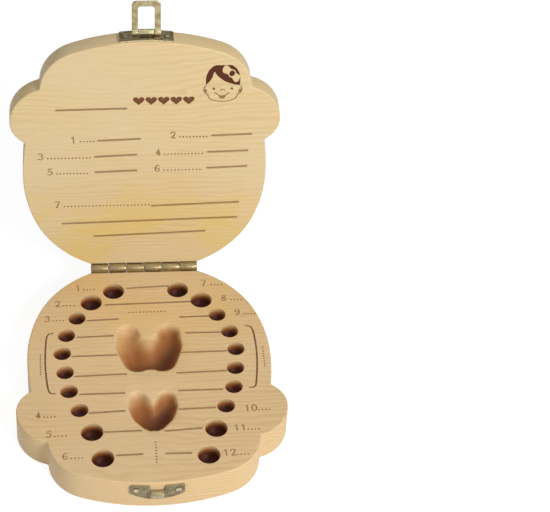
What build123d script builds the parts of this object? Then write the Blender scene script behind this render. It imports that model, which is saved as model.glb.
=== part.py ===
from build123d import *
from math import hypot, sqrt, cos, sin
import os

# Wooden tooth box shaped like a child's head: a thick base with a hollow for each milk tooth,
# a thinner lid on a strip hinge at the crown, and a swinging loop clasp at the chin.
# X points right, Y back to the hinge and Z up. The origin is on the underside of the base.

# Head outline, seen from above
head_span = 111.8
ear_span = 122.0
crown_reach = 65.1
chin_reach = 64.2
crown_flat = 51.2
corner_round = 1.2

# Slabs
base_thickness = 16.0
lid_thickness = 9.0
parting_gap = 0.2
edge_round = 0.6

# Lid hinge
hinge_sheet = 0.9
hinge_leaf_height = 8.6
hinge_inset = 0.2
hinge_knuckle_radius = 2.4
hinge_pin_radius = 1.1
hinge_axis_reach = 2.8
hinge_knuckle_gap = 0.2
hinge_wrap_gap = 0.3
knuckle_count = 6
lid_open_angle = 93.0
pin_clearance = 0.05

# Hinge screws
screw_count = 4
screw_pitch = 12.7
screw_head_radius = 1.6
screw_head_height = 0.7
screw_shank_radius = 0.8
screw_length = 7.0
fastener_fit = 0.03

# Clasp on the lid
clasp_sheet = 0.8
clasp_width = 24.0
clasp_knuckle_radius = 1.4
clasp_pin_radius = 0.65
clasp_axis_reach = 2.35
clasp_axis_height = 4.6
clasp_side_gap = 0.2
latch_plate_height = 7.8
latch_plate_inset = 0.6
latch_plate_corner = 0.9
latch_slot_height = 2.6
loop_sheet = 1.0
loop_width = 12.8
loop_leg = 2.8
loop_length = 14.8
loop_bar = 2.6
loop_corner = 2.2
loop_window_corner = 0.8
loop_rest_angle = 101.0

# Catch on the base
catch_top_inset = 1.4
catch_wing_height = 5.6
catch_tip_height = 8.9
catch_notch_width = 7.2
catch_notch_depth = 3.0
catch_corner = 0.8
hook_width = 5.8
hook_reach = 3.2
hook_drop = 2.1
hook_bend = 0.9

# Clasp nails
nail_spread = 18.4
nail_head_radius = 1.25
nail_head_height = 0.5
nail_shank_radius = 0.5
nail_length = 6.0

# Tooth hollows, ten on each side of a dental arch
arch_half_width = 40.0
arch_reach = 52.6
small_hollow_radius = 4.0
small_hollow_depth = 6.0
molar_hollow_radius = 5.0
molar_hollow_depth = 7.5

# Big hollow shaped like a molar: a ball cuts its right half, then the floor between the roots.
# Each stop is the ball's place and its radius.
tooth_stops = ((9.4, 24.4, 6.4), (7.9, 20.0, 8.1), (5.9, 6.6, 6.2))
tooth_floor_stops = ((-4.2, 9.6, 7.1), (4.2, 9.6, 7.1))

# Heart below it, its right half cut from lobe to tip
heart_stops = ((6.3, -14.6, 4.6), (4.9, -18.5, 5.9), (0, -28.6, 5.7))

# Face cut into the top of the lid
face_depth = 0.4
eye_spread = 57.6
eye_y = -19.4
eye_size = (5.3, 6.0)
iris_size = (2.6, 3.0)
mouth_half_width = 12.8
mouth_corner_y = -41.0
mouth_lip_drop = 3.2
mouth_drop = 14.4
tongue_radius = 10.0
tongue_y = -57.0
knot_place = (27.6, 34.3)
knot_size = (9.2, 10.9)
knot_border = 3.2
knot_turn = -16.0
bow_corner_radius = 4.5
bow_dot_radius = 3.4

# Cuts run this far past the faces that they leave through
overrun = 2.0

# Points of the right half of the outline, shares of half the head's span and of the reach to crown or chin
widest_share = (1.000, 0.169)
temple_share = (0.910, 0.584)
ear_top_share = (0.973, -0.140)
ear_outer_share = (1.000, -0.322)
neck_share = (0.844, -0.606)
jaw_share = (0.590, -0.910)

# Places of the hollows, shares of the arch's half width and reach, and whether each is a molar
arch_shares = (
    (0.380, 1.000, True), (0.648, 0.865, True), (0.820, 0.677, False), (0.948, 0.471, False),
    (1.000, 0.259, False), (0.973, 0.036, False), (0.933, -0.183, False), (0.823, -0.399, False),
    (0.690, -0.648, True), (0.583, -0.935, True))

# Face points, shares of half the head's span and of the crown's reach
fringe_peak_share = (-0.504, 0.634)
fringe_left_share = (-0.645, 0.262)
fringe_right_share = (0.057, 0.134)
fringe_end_share = (1.020, -0.125)
ear_mark_shares = ((0.980, -0.276), (1.066, -0.382), (0.897, -0.525), (0.926, -0.395))
bow_left_shares = ((0.140, 0.930), (0.030, 0.670), (0.270, 0.550), (0.400, 0.730))
bow_right_shares = ((0.760, 0.430), (0.905, 0.345), (0.730, 0.120), (0.600, 0.280))
bow_dot_shares = (
    (0.202, 0.848), (0.086, 0.677), (0.292, 0.657), (0.664, 0.387), (0.866, 0.316), (0.719, 0.184))

os.makedirs("parts", exist_ok=True)

# Sizes that follow
half_span = head_span / 2
half_ear = ear_span / 2
half_flat = crown_flat / 2
half_clasp = clasp_width / 2
half_loop = loop_width / 2
half_hook = hook_width / 2
half_notch = catch_notch_width / 2
lid_bottom = base_thickness + parting_gap
lid_top = lid_bottom + lid_thickness
hinge_y = crown_reach + hinge_axis_reach
hinge_z = base_thickness + parting_gap / 2
hinge_width = crown_flat - 2 * hinge_inset
hinge_finger = hinge_knuckle_radius + hinge_wrap_gap
knuckle_pitch = hinge_width / knuckle_count
screw_row = (hinge_finger + hinge_leaf_height) / 2
clasp_y = -chin_reach - clasp_axis_reach
clasp_z = lid_bottom + clasp_axis_height
clasp_center_width = loop_width - 2 * loop_leg - 2 * clasp_side_gap
latch_bottom = lid_bottom + latch_plate_inset
latch_nail_z = latch_bottom + latch_plate_height / 2
catch_top = base_thickness - catch_top_inset
catch_nail_z = catch_top - catch_wing_height / 2
lid_axis = Axis((0, hinge_y, hinge_z), (1, 0, 0))
clasp_axis = Axis((0, clasp_y, clasp_z), (1, 0, 0))

widest = (widest_share[0] * half_span, widest_share[1] * crown_reach)
temple = (temple_share[0] * half_span, temple_share[1] * crown_reach)
ear_top = (ear_top_share[0] * half_span, ear_top_share[1] * chin_reach)
ear_outer = (ear_outer_share[0] * half_ear, ear_outer_share[1] * chin_reach)
neck = (neck_share[0] * half_span, neck_share[1] * chin_reach)
jaw = (jaw_share[0] * half_span, jaw_share[1] * chin_reach)

# The chin is one arc, so the clasp's plates are bent to its radius
chin_rise = chin_reach + jaw[1]
chin_radius = (jaw[0] ** 2 + chin_rise ** 2) / (2 * chin_rise)
chin_center_y = chin_radius - chin_reach


def swing_open(piece):
    """Turns a piece of the shut lid about the hinge to where it stands open."""
    return piece.rotate(lid_axis, -lid_open_angle)


def save(piece, name):
    """Names a finished piece and writes it."""
    piece.label = name
    export_step(piece, "parts/" + name + ".step")


def face_point(share):
    """A point of the face from its shares."""
    return (share[0] * half_span, share[1] * crown_reach)


def back_seat(x, z):
    """Plane on the flat at the crown, looking back."""
    return Plane(origin=(x, crown_reach + hinge_sheet, z), x_dir=(-1, 0, 0), z_dir=(0, 1, 0))


def chin_seat(x, z):
    """Plane on a clasp plate, square to the chin's curve."""
    turn = x / chin_radius
    reach = chin_radius + clasp_sheet
    return Plane(
        origin=(reach * sin(turn), chin_center_y - reach * cos(turn), z),
        x_dir=(cos(turn), sin(turn), 0), z_dir=(sin(turn), -cos(turn), 0))


def screw_seats(z):
    """The row of screw places on a hinge leaf."""
    first = -screw_pitch * (screw_count - 1) / 2
    return [back_seat(first + k * screw_pitch, z) for k in range(screw_count)]


def nail_seats(z):
    """The two nail places on a clasp plate."""
    return [chin_seat(side * nail_spread / 2, z) for side in (-1, 1)]


def bore(seats, radius, depth):
    """Drills a round hole into the current part at each seat."""
    for seat in seats:
        with BuildSketch(seat.offset(overrun)) as mouth:
            Circle(radius)
        extrude(mouth.sketch, amount=-depth - overrun, mode=Mode.SUBTRACT)


def fastener(seat, head_radius, head_height, shank_radius, length):
    """A nail or screw with a domed head on its seat and a pointed shank in the wood."""
    side = Plane(origin=seat.origin, x_dir=seat.x_dir, z_dir=-seat.y_dir)
    shank_end = fastener_fit - length
    point_start = shank_end + 2 * shank_radius
    with BuildPart() as piece:
        with BuildSketch(side) as profile:
            with BuildLine():
                dome = TangentArc((0, head_height), (head_radius, fastener_fit), tangent=(1, 0))
                neck_top = (shank_radius, fastener_fit)
                Polyline(dome @ 1, neck_top, (shank_radius, point_start), (0, shank_end), dome @ 0)
            make_face()
        revolve(axis=Axis(seat.origin, seat.z_dir))
    return piece.part


def ball_hollow(x, y, radius, depth):
    """A round hollow with a ball-shaped floor, cut down from the top of the base."""
    wall = depth - radius
    with BuildSketch(Plane(origin=(x, y, base_thickness), x_dir=(1, 0, 0), z_dir=(0, -1, 0))) as profile:
        with BuildLine():
            Polyline((0, -depth), (0, overrun), (radius, overrun), (radius, -wall))
            RadiusArc((radius, -wall), (0, -depth), radius)
        make_face()
    revolve(profile.sketch, axis=Axis((x, y, 0), (0, 0, 1)), mode=Mode.SUBTRACT)


def ball_groove(start, finish):
    """A groove cut by a ball that changes size on its way between two stops on the base's top."""
    start_x, start_y, start_radius = start
    finish_x, finish_y, finish_radius = finish
    along = (finish_x - start_x, finish_y - start_y, 0)
    length = hypot(along[0], along[1])
    lean = (start_radius - finish_radius) / length
    rise = sqrt(1 - lean ** 2)
    leave = (start_radius * lean, start_radius * rise)
    meet = (length + finish_radius * lean, finish_radius * rise)
    near_end = (-start_radius, 0)
    far_end = (length + finish_radius, 0)
    cut = Plane(origin=(start_x, start_y, base_thickness), x_dir=along, z_dir=(0, 0, 1))
    with BuildSketch(cut) as profile:
        with BuildLine():
            RadiusArc(near_end, leave, start_radius)
            Line(leave, meet)
            RadiusArc(meet, far_end, finish_radius)
            Line(far_end, near_end)
        make_face()
    revolve(profile.sketch, axis=Axis(cut.origin, cut.x_dir), mode=Mode.SUBTRACT)


def ball_grooves(stops):
    """Grooves from stop to stop."""
    for start, finish in zip(stops, stops[1:]):
        ball_groove(start, finish)


# Head outline, shared by both slabs
with BuildSketch() as head:
    with BuildLine():
        chin_arc = TangentArc((0, -chin_reach), jaw, tangent=(1, 0))
        TangentArc(jaw, neck, tangent=chin_arc % 1)
        TangentArc(ear_outer, neck, tangent=(0, -1))
        TangentArc(ear_outer, ear_top, tangent=(0, 1))
        TangentArc(widest, ear_top, tangent=(0, -1))
        temple_arc = TangentArc(widest, temple, tangent=(0, 1))
        TangentArc(temple, (half_flat, crown_reach), tangent=temple_arc % 1)
        Polyline((half_flat, crown_reach), (0, crown_reach), (0, -chin_reach))
    make_face()
    mirror(about=Plane.YZ)
    notches = [v for v in head.vertices() if any(
        hypot(abs(v.X) - place[0], v.Y - place[1]) < corner_round for place in (ear_top, neck))]
    fillet(notches, corner_round)

# Base: one slab of wood with every hollow cut from above
with BuildPart() as base_block:
    add(head.sketch)
    extrude(amount=base_thickness)
    sides = base_block.faces().sort_by(Axis.Z)
    fillet(sides[0].edges() + sides[-1].edges(), edge_round)
    for across, forward, is_molar in arch_shares:
        radius = molar_hollow_radius if is_molar else small_hollow_radius
        depth = molar_hollow_depth if is_molar else small_hollow_depth
        for side in (-1, 1):
            ball_hollow(side * across * arch_half_width, forward * arch_reach, radius, depth)
    for side in (-1, 1):
        ball_grooves([(side * x, y, radius) for x, y, radius in tooth_stops])
        ball_grooves([(side * x, y, radius) for x, y, radius in heart_stops])
    ball_grooves(tooth_floor_stops)
    bore(screw_seats(hinge_z - screw_row), screw_shank_radius + fastener_fit, screw_length)
    bore(nail_seats(catch_nail_z), nail_shank_radius + fastener_fit, nail_length)
save(base_block.part, "base_block")

# Lid: a thinner slab with the hair, bow, eyes, mouth and ears sunk into its top
with BuildPart() as lid_panel:
    with BuildSketch(Plane.XY.offset(lid_bottom)):
        add(head.sketch)
    extrude(amount=lid_thickness)
    sides = lid_panel.faces().sort_by(Axis.Z)
    fillet(sides[0].edges() + sides[-1].edges(), edge_round)
    with BuildSketch(Plane.XY.offset(lid_top)) as sunk:
        with BuildLine():
            fringe_peak = face_point(fringe_peak_share)
            end_x, end_y = face_point(fringe_end_share)
            past_crown = crown_reach + overrun
            ThreePointArc(fringe_peak, face_point(fringe_right_share), (end_x, end_y))
            Polyline((end_x, end_y), (end_x, past_crown), (-end_x, past_crown), (-end_x, end_y))
            ThreePointArc((-end_x, end_y), face_point(fringe_left_share), fringe_peak)
        make_face()
        for corners in (bow_left_shares, bow_right_shares):
            with BuildSketch(mode=Mode.SUBTRACT):
                with Locations(*[face_point(share) for share in corners]):
                    Circle(bow_corner_radius)
                make_hull()
        with Locations(Location((knot_place[0], knot_place[1], 0), knot_turn)):
            Ellipse(knot_size[0] + knot_border, knot_size[1] + knot_border, mode=Mode.SUBTRACT)
            Ellipse(knot_size[0], knot_size[1])
        with Locations(*[face_point(share) for share in bow_dot_shares]):
            Circle(bow_dot_radius)
        with Locations((-eye_spread / 2, eye_y), (eye_spread / 2, eye_y)):
            Ellipse(eye_size[0], eye_size[1])
            Ellipse(iris_size[0], iris_size[1], mode=Mode.SUBTRACT)
        for side in (-1, 1):
            marks = [face_point(share) for share in ear_mark_shares]
            top_mark, outer_mark, tip_mark, inner_mark = [(side * mark[0], mark[1]) for mark in marks]
            with BuildLine():
                ThreePointArc(top_mark, outer_mark, tip_mark)
                ThreePointArc(tip_mark, inner_mark, top_mark)
            make_face()
        with BuildLine():
            left_corner = (-mouth_half_width, mouth_corner_y)
            right_corner = (mouth_half_width, mouth_corner_y)
            ThreePointArc(left_corner, (0, mouth_corner_y - mouth_lip_drop), right_corner)
            ThreePointArc(right_corner, (0, mouth_corner_y - mouth_drop), left_corner)
        make_face()
        with Locations((0, tongue_y)):
            Circle(tongue_radius, mode=Mode.SUBTRACT)
    extrude(amount=-face_depth, mode=Mode.SUBTRACT)
    bore(screw_seats(hinge_z + screw_row), screw_shank_radius + fastener_fit, screw_length)
    bore(nail_seats(latch_nail_z), nail_shank_radius + fastener_fit, nail_length)
save(swing_open(lid_panel.part), "lid_panel")

# Hinge: two leaves bent from sheet, with turned knuckles on one pin
leaves = {}
for name, side in (("base_hinge_leaf", -1), ("lid_hinge_leaf", 1)):
    with BuildPart() as leaf:
        with BuildSketch(Plane(origin=(0, crown_reach, hinge_z), x_dir=(1, 0, 0), z_dir=(0, -1, 0))):
            low, high = sorted((side * hinge_finger, side * hinge_leaf_height))
            with Locations((0, (low + high) / 2)):
                Rectangle(hinge_width, high - low)
            first = 0 if side < 0 else 1
            places = [(k + 1 / 2 - knuckle_count / 2) * knuckle_pitch for k in range(first, knuckle_count, 2)]
            with Locations(*[(x, side * hinge_finger / 2) for x in places]):
                Rectangle(knuckle_pitch - hinge_knuckle_gap, hinge_finger)
        extrude(amount=-hinge_sheet)
        for x in places:
            with BuildSketch(Plane(origin=(x, hinge_y, hinge_z), x_dir=(0, 1, 0), z_dir=(1, 0, 0))):
                Circle(hinge_knuckle_radius)
            extrude(amount=(knuckle_pitch - hinge_knuckle_gap) / 2, both=True)
        with BuildSketch(Plane(origin=(0, hinge_y, hinge_z), x_dir=(0, 1, 0), z_dir=(1, 0, 0))):
            Circle(hinge_pin_radius + pin_clearance)
        extrude(amount=hinge_width, both=True, mode=Mode.SUBTRACT)
        seats = screw_seats(hinge_z + side * screw_row)
        bore(seats, screw_shank_radius + fastener_fit, hinge_sheet + overrun)
    leaves[name] = leaf.part
save(leaves["base_hinge_leaf"], "base_hinge_leaf")
save(swing_open(leaves["lid_hinge_leaf"]), "lid_hinge_leaf")

with BuildPart() as hinge_pin:
    with BuildSketch(Plane(origin=(0, hinge_y, hinge_z), x_dir=(0, 1, 0), z_dir=(1, 0, 0))):
        Circle(hinge_pin_radius)
    extrude(amount=hinge_width / 2, both=True)
save(hinge_pin.part, "hinge_pin")

# Hinge screws, numbered from the left as seen from behind
for number, seat in enumerate(screw_seats(hinge_z - screw_row), 1):
    screw = fastener(seat, screw_head_radius, screw_head_height, screw_shank_radius, screw_length)
    save(screw, "base_hinge_screw_" + str(number))
for number, seat in enumerate(screw_seats(hinge_z + screw_row), 1):
    screw = fastener(seat, screw_head_radius, screw_head_height, screw_shank_radius, screw_length)
    save(swing_open(screw), "lid_hinge_screw_" + str(number))

# Latch plate on the lid's chin, bent to the chin, with one knuckle rolled from a tongue of the sheet
with BuildPart() as latch_plate:
    with BuildSketch(Plane(origin=(0, -chin_reach, latch_nail_z), x_dir=(1, 0, 0), z_dir=(0, -1, 0))):
        RectangleRounded(clasp_width, latch_plate_height, latch_plate_corner)
    extrude(amount=clasp_sheet + overrun, both=True)
    with BuildSketch(Plane.XY.offset(latch_bottom)):
        with Locations((0, chin_center_y)):
            Circle(chin_radius + clasp_sheet)
            Circle(chin_radius, mode=Mode.SUBTRACT)
    extrude(amount=latch_plate_height, mode=Mode.INTERSECT)
    slot_z = clasp_z - latch_slot_height / 2
    with BuildSketch(Plane(origin=(0, -chin_reach, slot_z), x_dir=(1, 0, 0), z_dir=(0, -1, 0))):
        Rectangle(clasp_center_width, latch_slot_height)
    extrude(amount=clasp_sheet + overrun, both=True, mode=Mode.SUBTRACT)
    with BuildSketch(Plane(origin=(0, clasp_y, clasp_z), x_dir=(0, 1, 0), z_dir=(1, 0, 0))):
        Circle(clasp_knuckle_radius)
        with Locations(((clasp_axis_reach - clasp_sheet / 2) / 2, clasp_knuckle_radius - clasp_sheet / 2)):
            Rectangle(clasp_axis_reach - clasp_sheet / 2, clasp_sheet)
        Circle(clasp_pin_radius + pin_clearance, mode=Mode.SUBTRACT)
    extrude(amount=clasp_center_width / 2, both=True)
    bore(nail_seats(latch_nail_z), nail_shank_radius + fastener_fit, clasp_sheet + overrun)
save(swing_open(latch_plate.part), "latch_plate")

with BuildPart() as latch_pin:
    with BuildSketch(Plane(origin=(0, clasp_y, clasp_z), x_dir=(0, 1, 0), z_dir=(1, 0, 0))):
        Circle(clasp_pin_radius)
    extrude(amount=half_loop, both=True)
save(swing_open(latch_pin.part), "latch_pin")

# Latch loop, drawn hanging down as when it holds the box shut, then lifted to where it rests
with BuildPart() as latch_loop:
    with BuildSketch(Plane(origin=(0, clasp_y, clasp_z), x_dir=(1, 0, 0), z_dir=(0, -1, 0))) as frame:
        with Locations((0, -loop_length / 2)):
            Rectangle(loop_width, loop_length)
        fillet(frame.vertices().group_by(Axis.Y)[0], loop_corner)
        with Locations((0, -(loop_length - loop_bar) / 2)):
            Rectangle(loop_width - 2 * loop_leg, loop_length - loop_bar, mode=Mode.SUBTRACT)
        bar_middle = -loop_length + loop_bar / 2
        low_corners = frame.vertices().filter_by_position(Axis.Y, bar_middle, -loop_length / 2)
        fillet([v for v in low_corners if abs(v.X) < half_loop - loop_leg / 2], loop_window_corner)
    extrude(amount=loop_sheet / 2, both=True)
    for side in (-1, 1):
        x = side * (half_loop - loop_leg / 2)
        with BuildSketch(Plane(origin=(x, clasp_y, clasp_z), x_dir=(0, 1, 0), z_dir=(1, 0, 0))):
            Circle(clasp_knuckle_radius)
        extrude(amount=loop_leg / 2, both=True)
    with BuildSketch(Plane(origin=(0, clasp_y, clasp_z), x_dir=(0, 1, 0), z_dir=(1, 0, 0))):
        Circle(clasp_pin_radius + pin_clearance)
    extrude(amount=loop_width, both=True, mode=Mode.SUBTRACT)
save(swing_open(latch_loop.part.rotate(clasp_axis, -loop_rest_angle)), "latch_loop")

# Catch plate on the base's chin: two wings, a notch, and a hook rolled from the tongue cut out of the notch
with BuildPart() as catch_plate:
    with BuildSketch(Plane(origin=(0, -chin_reach, catch_top), x_dir=(1, 0, 0), z_dir=(0, -1, 0))) as outline:
        with BuildLine():
            notch_end = (half_hook, -catch_notch_depth)
            wing_end = (half_clasp, -catch_wing_height)
            hip = ((half_clasp + half_notch) / 2, -(catch_wing_height + catch_tip_height) / 2)
            Polyline((0, -catch_notch_depth), notch_end, (half_notch, 0), (half_clasp, 0), wing_end)
            ThreePointArc(wing_end, hip, (0, -catch_tip_height))
            Line((0, -catch_tip_height), (0, -catch_notch_depth))
        make_face()
        mirror(about=Plane.YZ)
        wings = [v for v in outline.vertices() if abs(v.X) > half_clasp - catch_corner]
        fillet(wings, catch_corner)
    extrude(amount=clasp_sheet + overrun, both=True)
    with BuildSketch(Plane.XY.offset(catch_top - catch_tip_height)):
        with Locations((0, chin_center_y)):
            Circle(chin_radius + clasp_sheet)
            Circle(chin_radius, mode=Mode.SUBTRACT)
    extrude(amount=catch_tip_height, mode=Mode.INTERSECT)
    notch_floor = (0, -chin_reach, catch_top - catch_notch_depth)
    with BuildSketch(Plane(origin=notch_floor, x_dir=(0, -1, 0), z_dir=(-1, 0, 0))):
        with BuildLine():
            root_z = -clasp_sheet / 2
            bend = (hook_reach - clasp_sheet / 2, root_z)
            FilletPolyline((clasp_sheet / 2, root_z), bend, (bend[0], root_z - hook_drop), radius=hook_bend)
        trace(line_width=clasp_sheet)
    extrude(amount=half_hook, both=True)
    bore(nail_seats(catch_nail_z), nail_shank_radius + fastener_fit, clasp_sheet + overrun)
save(catch_plate.part, "catch_plate")

# Clasp nails
for side_name, seat in zip(("left", "right"), nail_seats(latch_nail_z)):
    nail = fastener(seat, nail_head_radius, nail_head_height, nail_shank_radius, nail_length)
    save(swing_open(nail), "latch_nail_" + side_name)
for side_name, seat in zip(("left", "right"), nail_seats(catch_nail_z)):
    nail = fastener(seat, nail_head_radius, nail_head_height, nail_shank_radius, nail_length)
    save(nail, "catch_nail_" + side_name)
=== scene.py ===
# %% [markdown]
# A wooden keepsake box for milk teeth, shaped like a child's head. It stands open: the thick base lies
# flat, the thinner lid is up on its strip hinge, and the loop of the clasp points at the ceiling.
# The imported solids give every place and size. This file dresses them: carved boards, rolled hinge
# leaves, a stamped clasp, and the wood and metal they are made of.

# %% Load the frame
from math import atan2, ceil, cos, hypot, pi, radians, sin

import bpy
import numpy as np
from mathutils import Matrix, Vector, kdtree
from mathutils.geometry import delaunay_2d_cdt


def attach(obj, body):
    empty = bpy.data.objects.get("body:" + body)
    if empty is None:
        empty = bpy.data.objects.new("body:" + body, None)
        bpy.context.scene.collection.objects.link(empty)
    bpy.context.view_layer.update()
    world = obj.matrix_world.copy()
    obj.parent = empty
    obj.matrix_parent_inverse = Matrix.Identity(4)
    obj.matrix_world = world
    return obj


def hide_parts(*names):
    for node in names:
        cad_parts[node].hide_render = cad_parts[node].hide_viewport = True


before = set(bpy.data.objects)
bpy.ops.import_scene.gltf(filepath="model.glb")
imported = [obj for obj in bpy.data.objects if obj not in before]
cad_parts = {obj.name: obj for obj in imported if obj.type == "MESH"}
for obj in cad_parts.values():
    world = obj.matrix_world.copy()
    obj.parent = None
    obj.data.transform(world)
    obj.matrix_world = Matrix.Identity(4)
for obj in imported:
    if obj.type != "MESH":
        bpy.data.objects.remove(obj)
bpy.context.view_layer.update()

# %% [markdown]
# Lengths are written in millimetres, as on a maker's drawing. They become metres when a mesh is made.
# The lid's pieces are drawn on the shut box and then turned about the hinge, as the real lid is.

# %% Sizes of the box
MM = 0.001
BASE_TOP = 16.0
LID_UNDER = 16.2
LID_TOP = 25.2
RIM_ROUND = 0.6
HINGE_Y = 67.9
HINGE_Z = 16.1
OPEN_ANGLE = 93.0
CLASP_Y = -66.55
CLASP_Z = 20.8
LOOP_ANGLE = 101.0


def turned(angle, y, z):
    """Turns about an axle along X through (y, z)."""
    axle = Vector((0, y, z))
    return Matrix.Translation(axle) @ Matrix.Rotation(radians(angle), 4, "X") @ Matrix.Translation(-axle)


AS_DRAWN = Matrix.Identity(4)
LIFT_LID = turned(-OPEN_ANGLE, HINGE_Y, HINGE_Z)
LIFT_LOOP = LIFT_LID @ turned(-LOOP_ANGLE, CLASP_Y, CLASP_Z)
print("the loop's pin stands at", [round(c, 2) for c in LIFT_LID @ Vector((0, CLASP_Y, CLASP_Z))])

# %% [markdown]
# Both boards share one outline: a chain of arcs, each leaving the last one in the same direction, so the
# head has no kinks except the four notches at the ears. One helper draws such an arc from a start, a
# direction and an end, because that is all a bandsaw template gives.

# %% A line made of arcs
LINE_STEP = 1.2


def arc_from(start, heading, end):
    """Points of the arc that leaves start along heading and ends at end, and its last heading."""
    (x0, y0), (x1, y1), (hx, hy) = start, end, heading
    across = (y1 - y0) * hx - (x1 - x0) * hy
    bend = ((x1 - x0) ** 2 + (y1 - y0) ** 2) / (2 * across)
    cx, cy = x0 - hy * bend, y0 + hx * bend
    sweep = atan2(y1 - cy, x1 - cx) - atan2(y0 - cy, x0 - cx)
    sweep = sweep % (2 * pi) if bend > 0 else -(-sweep % (2 * pi))
    steps = max(3, ceil(abs(bend * sweep) / LINE_STEP))
    points = []
    for k in range(steps + 1):
        c, s = cos(sweep * k / steps), sin(sweep * k / steps)
        points.append((cx + (x0 - cx) * c - (y0 - cy) * s, cy + (x0 - cx) * s + (y0 - cy) * c))
    return points, (hx * cos(sweep) - hy * sin(sweep), hx * sin(sweep) + hy * cos(sweep))


# %% The head outline
JAW, NECK = (32.98, -58.42), (47.18, -38.91)
EAR_OUTER, EAR_TOP = (61.0, -20.67), (54.39, -8.99)
WIDEST, TEMPLE, CROWN_END = (55.9, 11.0), (50.87, 38.02), (25.6, 65.1)
CHIN = (0.0, -64.2)
NOTCH_ROUND = 0.9


def soften(line, corner, reach):
    """Replaces the part of a line within reach of a corner by a small curve."""
    near = [k for k, p in enumerate(line) if hypot(p[0] - corner[0], p[1] - corner[1]) < reach]
    first, last = near[0] - 1, near[-1] + 1
    (ax, ay), (bx, by) = line[first], line[last]
    curve = []
    for t in (0.25, 0.5, 0.75):
        a, b, c = (1 - t) ** 2, 2 * t * (1 - t), t * t
        curve.append((a * ax + b * corner[0] + c * bx, a * ay + b * corner[1] + c * by))
    return line[:first + 1] + curve + line[last:]


chin_arc, heading = arc_from(CHIN, (1, 0), JAW)
cheek_arc, heading = arc_from(JAW, heading, NECK)
lobe_arc, heading = arc_from(EAR_OUTER, (0, -1), NECK)
ear_arc, heading = arc_from(EAR_OUTER, (0, 1), EAR_TOP)
side_arc, heading = arc_from(WIDEST, (0, -1), EAR_TOP)
temple_arc, heading = arc_from(WIDEST, (0, 1), TEMPLE)
crown_arc, heading = arc_from(TEMPLE, heading, CROWN_END)
right_half = chin_arc[:-1] + cheek_arc[:-1] + lobe_arc[::-1][:-1] + ear_arc[:-1]
right_half = right_half + side_arc[::-1][:-1] + temple_arc[:-1] + crown_arc
for notch in (NECK, EAR_TOP):
    right_half = soften(right_half, notch, NOTCH_ROUND)
flat_run = [(x, CROWN_END[1]) for x in np.linspace(CROWN_END[0], -CROWN_END[0], 18)[1:-1]]
HEAD = right_half + flat_run + [(-x, y) for x, y in right_half[::-1]][:-1]
CHIN_RADIUS = (JAW[0] ** 2 + (JAW[1] - CHIN[1]) ** 2) / (2 * (JAW[1] - CHIN[1]))
CHIN_CENTER = CHIN[1] + CHIN_RADIUS
print("outline points", len(HEAD), "chin radius", round(CHIN_RADIUS, 2))

# %% [markdown]
# Everything flat here, wood or sheet metal, is made the same way. Its outline and the edges of all its
# cuts are drawn as lines on a flat drawing, the drawing is filled with triangles that keep those lines,
# and each corner is then pushed down to the depth of the cut it lies in. Booleans could cut the same
# grooves, but a hundred of them crossing on one board are slow and leave torn edges.

# %% Measure and shift lines on the drawing
def legs(line, closed):
    """Starts and steps of a line's straight legs."""
    start = np.array(line, float)
    step = np.roll(start, -1, 0) - start
    return (start, step) if closed else (start[:-1], step[:-1])


def distance(points, line, closed=True):
    """How far each point is from a line."""
    start, step = legs(line, closed)
    length = np.maximum((step ** 2).sum(1), 1e-12)
    out = []
    for part in np.array_split(points, max(1, len(points) // 3000)):
        along = ((part[:, None] - start) * step).sum(2) / length
        foot = start + np.clip(along, 0, 1)[..., None] * step
        out.append(np.sqrt(((part[:, None] - foot) ** 2).sum(2).min(1)))
    return np.concatenate(out)


def inside(points, loop):
    """Which points lie inside a loop."""
    start, step = legs(loop, True)
    result = np.zeros(len(points), bool)
    for (x, y), (dx, dy) in zip(start, step):
        if dy:
            crosses = (points[:, 1] >= y) != (points[:, 1] >= y + dy)
            result ^= crosses & (points[:, 0] < x + dx * (points[:, 1] - y) / dy)
    return result


def sunk_in(points, loop):
    """Distance from a loop, positive inside it."""
    return np.where(inside(points, loop), 1, -1) * distance(points, loop)


def shifted(line, amount, closed=True):
    """A line moved to its right, which is outwards on a loop drawn anticlockwise."""
    p = np.array(line, float)
    ahead = np.roll(p, -1, 0) - p
    if not closed:
        ahead[-1] = ahead[-2]
    ahead /= np.maximum(np.hypot(ahead[:, 0], ahead[:, 1]), 1e-9)[:, None]
    behind = np.roll(ahead, 1, 0)
    if not closed:
        behind[0] = ahead[0]
    both = ahead + behind
    spread = np.maximum(1 + (ahead * behind).sum(1), 0.5)[:, None]
    return p + np.c_[both[:, 1], -both[:, 0]] / spread * amount


# %% Draw curves
def ring(x, y, rx, ry=None, count=None, tilt=0.0, start=0.0, sweep=360.0):
    """Points of a circle, an ellipse or a part of one, anticlockwise."""
    ry = ry or rx
    count = count or max(10, int(abs(sweep) / 360 * 2 * pi * max(rx, ry) / 0.7))
    whole = abs(sweep) >= 360
    angles = np.radians(start + np.arange(count + (not whole)) * sweep / count)
    px, py = rx * np.cos(angles), ry * np.sin(angles)
    c, s = cos(radians(tilt)), sin(radians(tilt))
    return np.c_[x + px * c - py * s, y + px * s + py * c]


def through(points, closed=False, gap=0.9):
    """A smooth curve through given points."""
    p = [np.array(q, float) for q in points]
    p = [p[-1]] + p + p[:2] if closed else [2 * p[0] - p[1]] + p + [2 * p[-1] - p[-2]]
    out = []
    for a, b, c, d in zip(p, p[1:], p[2:], p[3:]):
        steps = max(2, ceil(np.hypot(*(c - b)) / gap))
        for t in np.arange(steps) / steps:
            bend = (2 * a - 5 * b + 4 * c - d) * t * t + (3 * b - 3 * c + d - a) * t ** 3
            out.append(0.5 * (2 * b + (c - a) * t + bend))
    return np.array(out if closed else out + [p[-2]])


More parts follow.
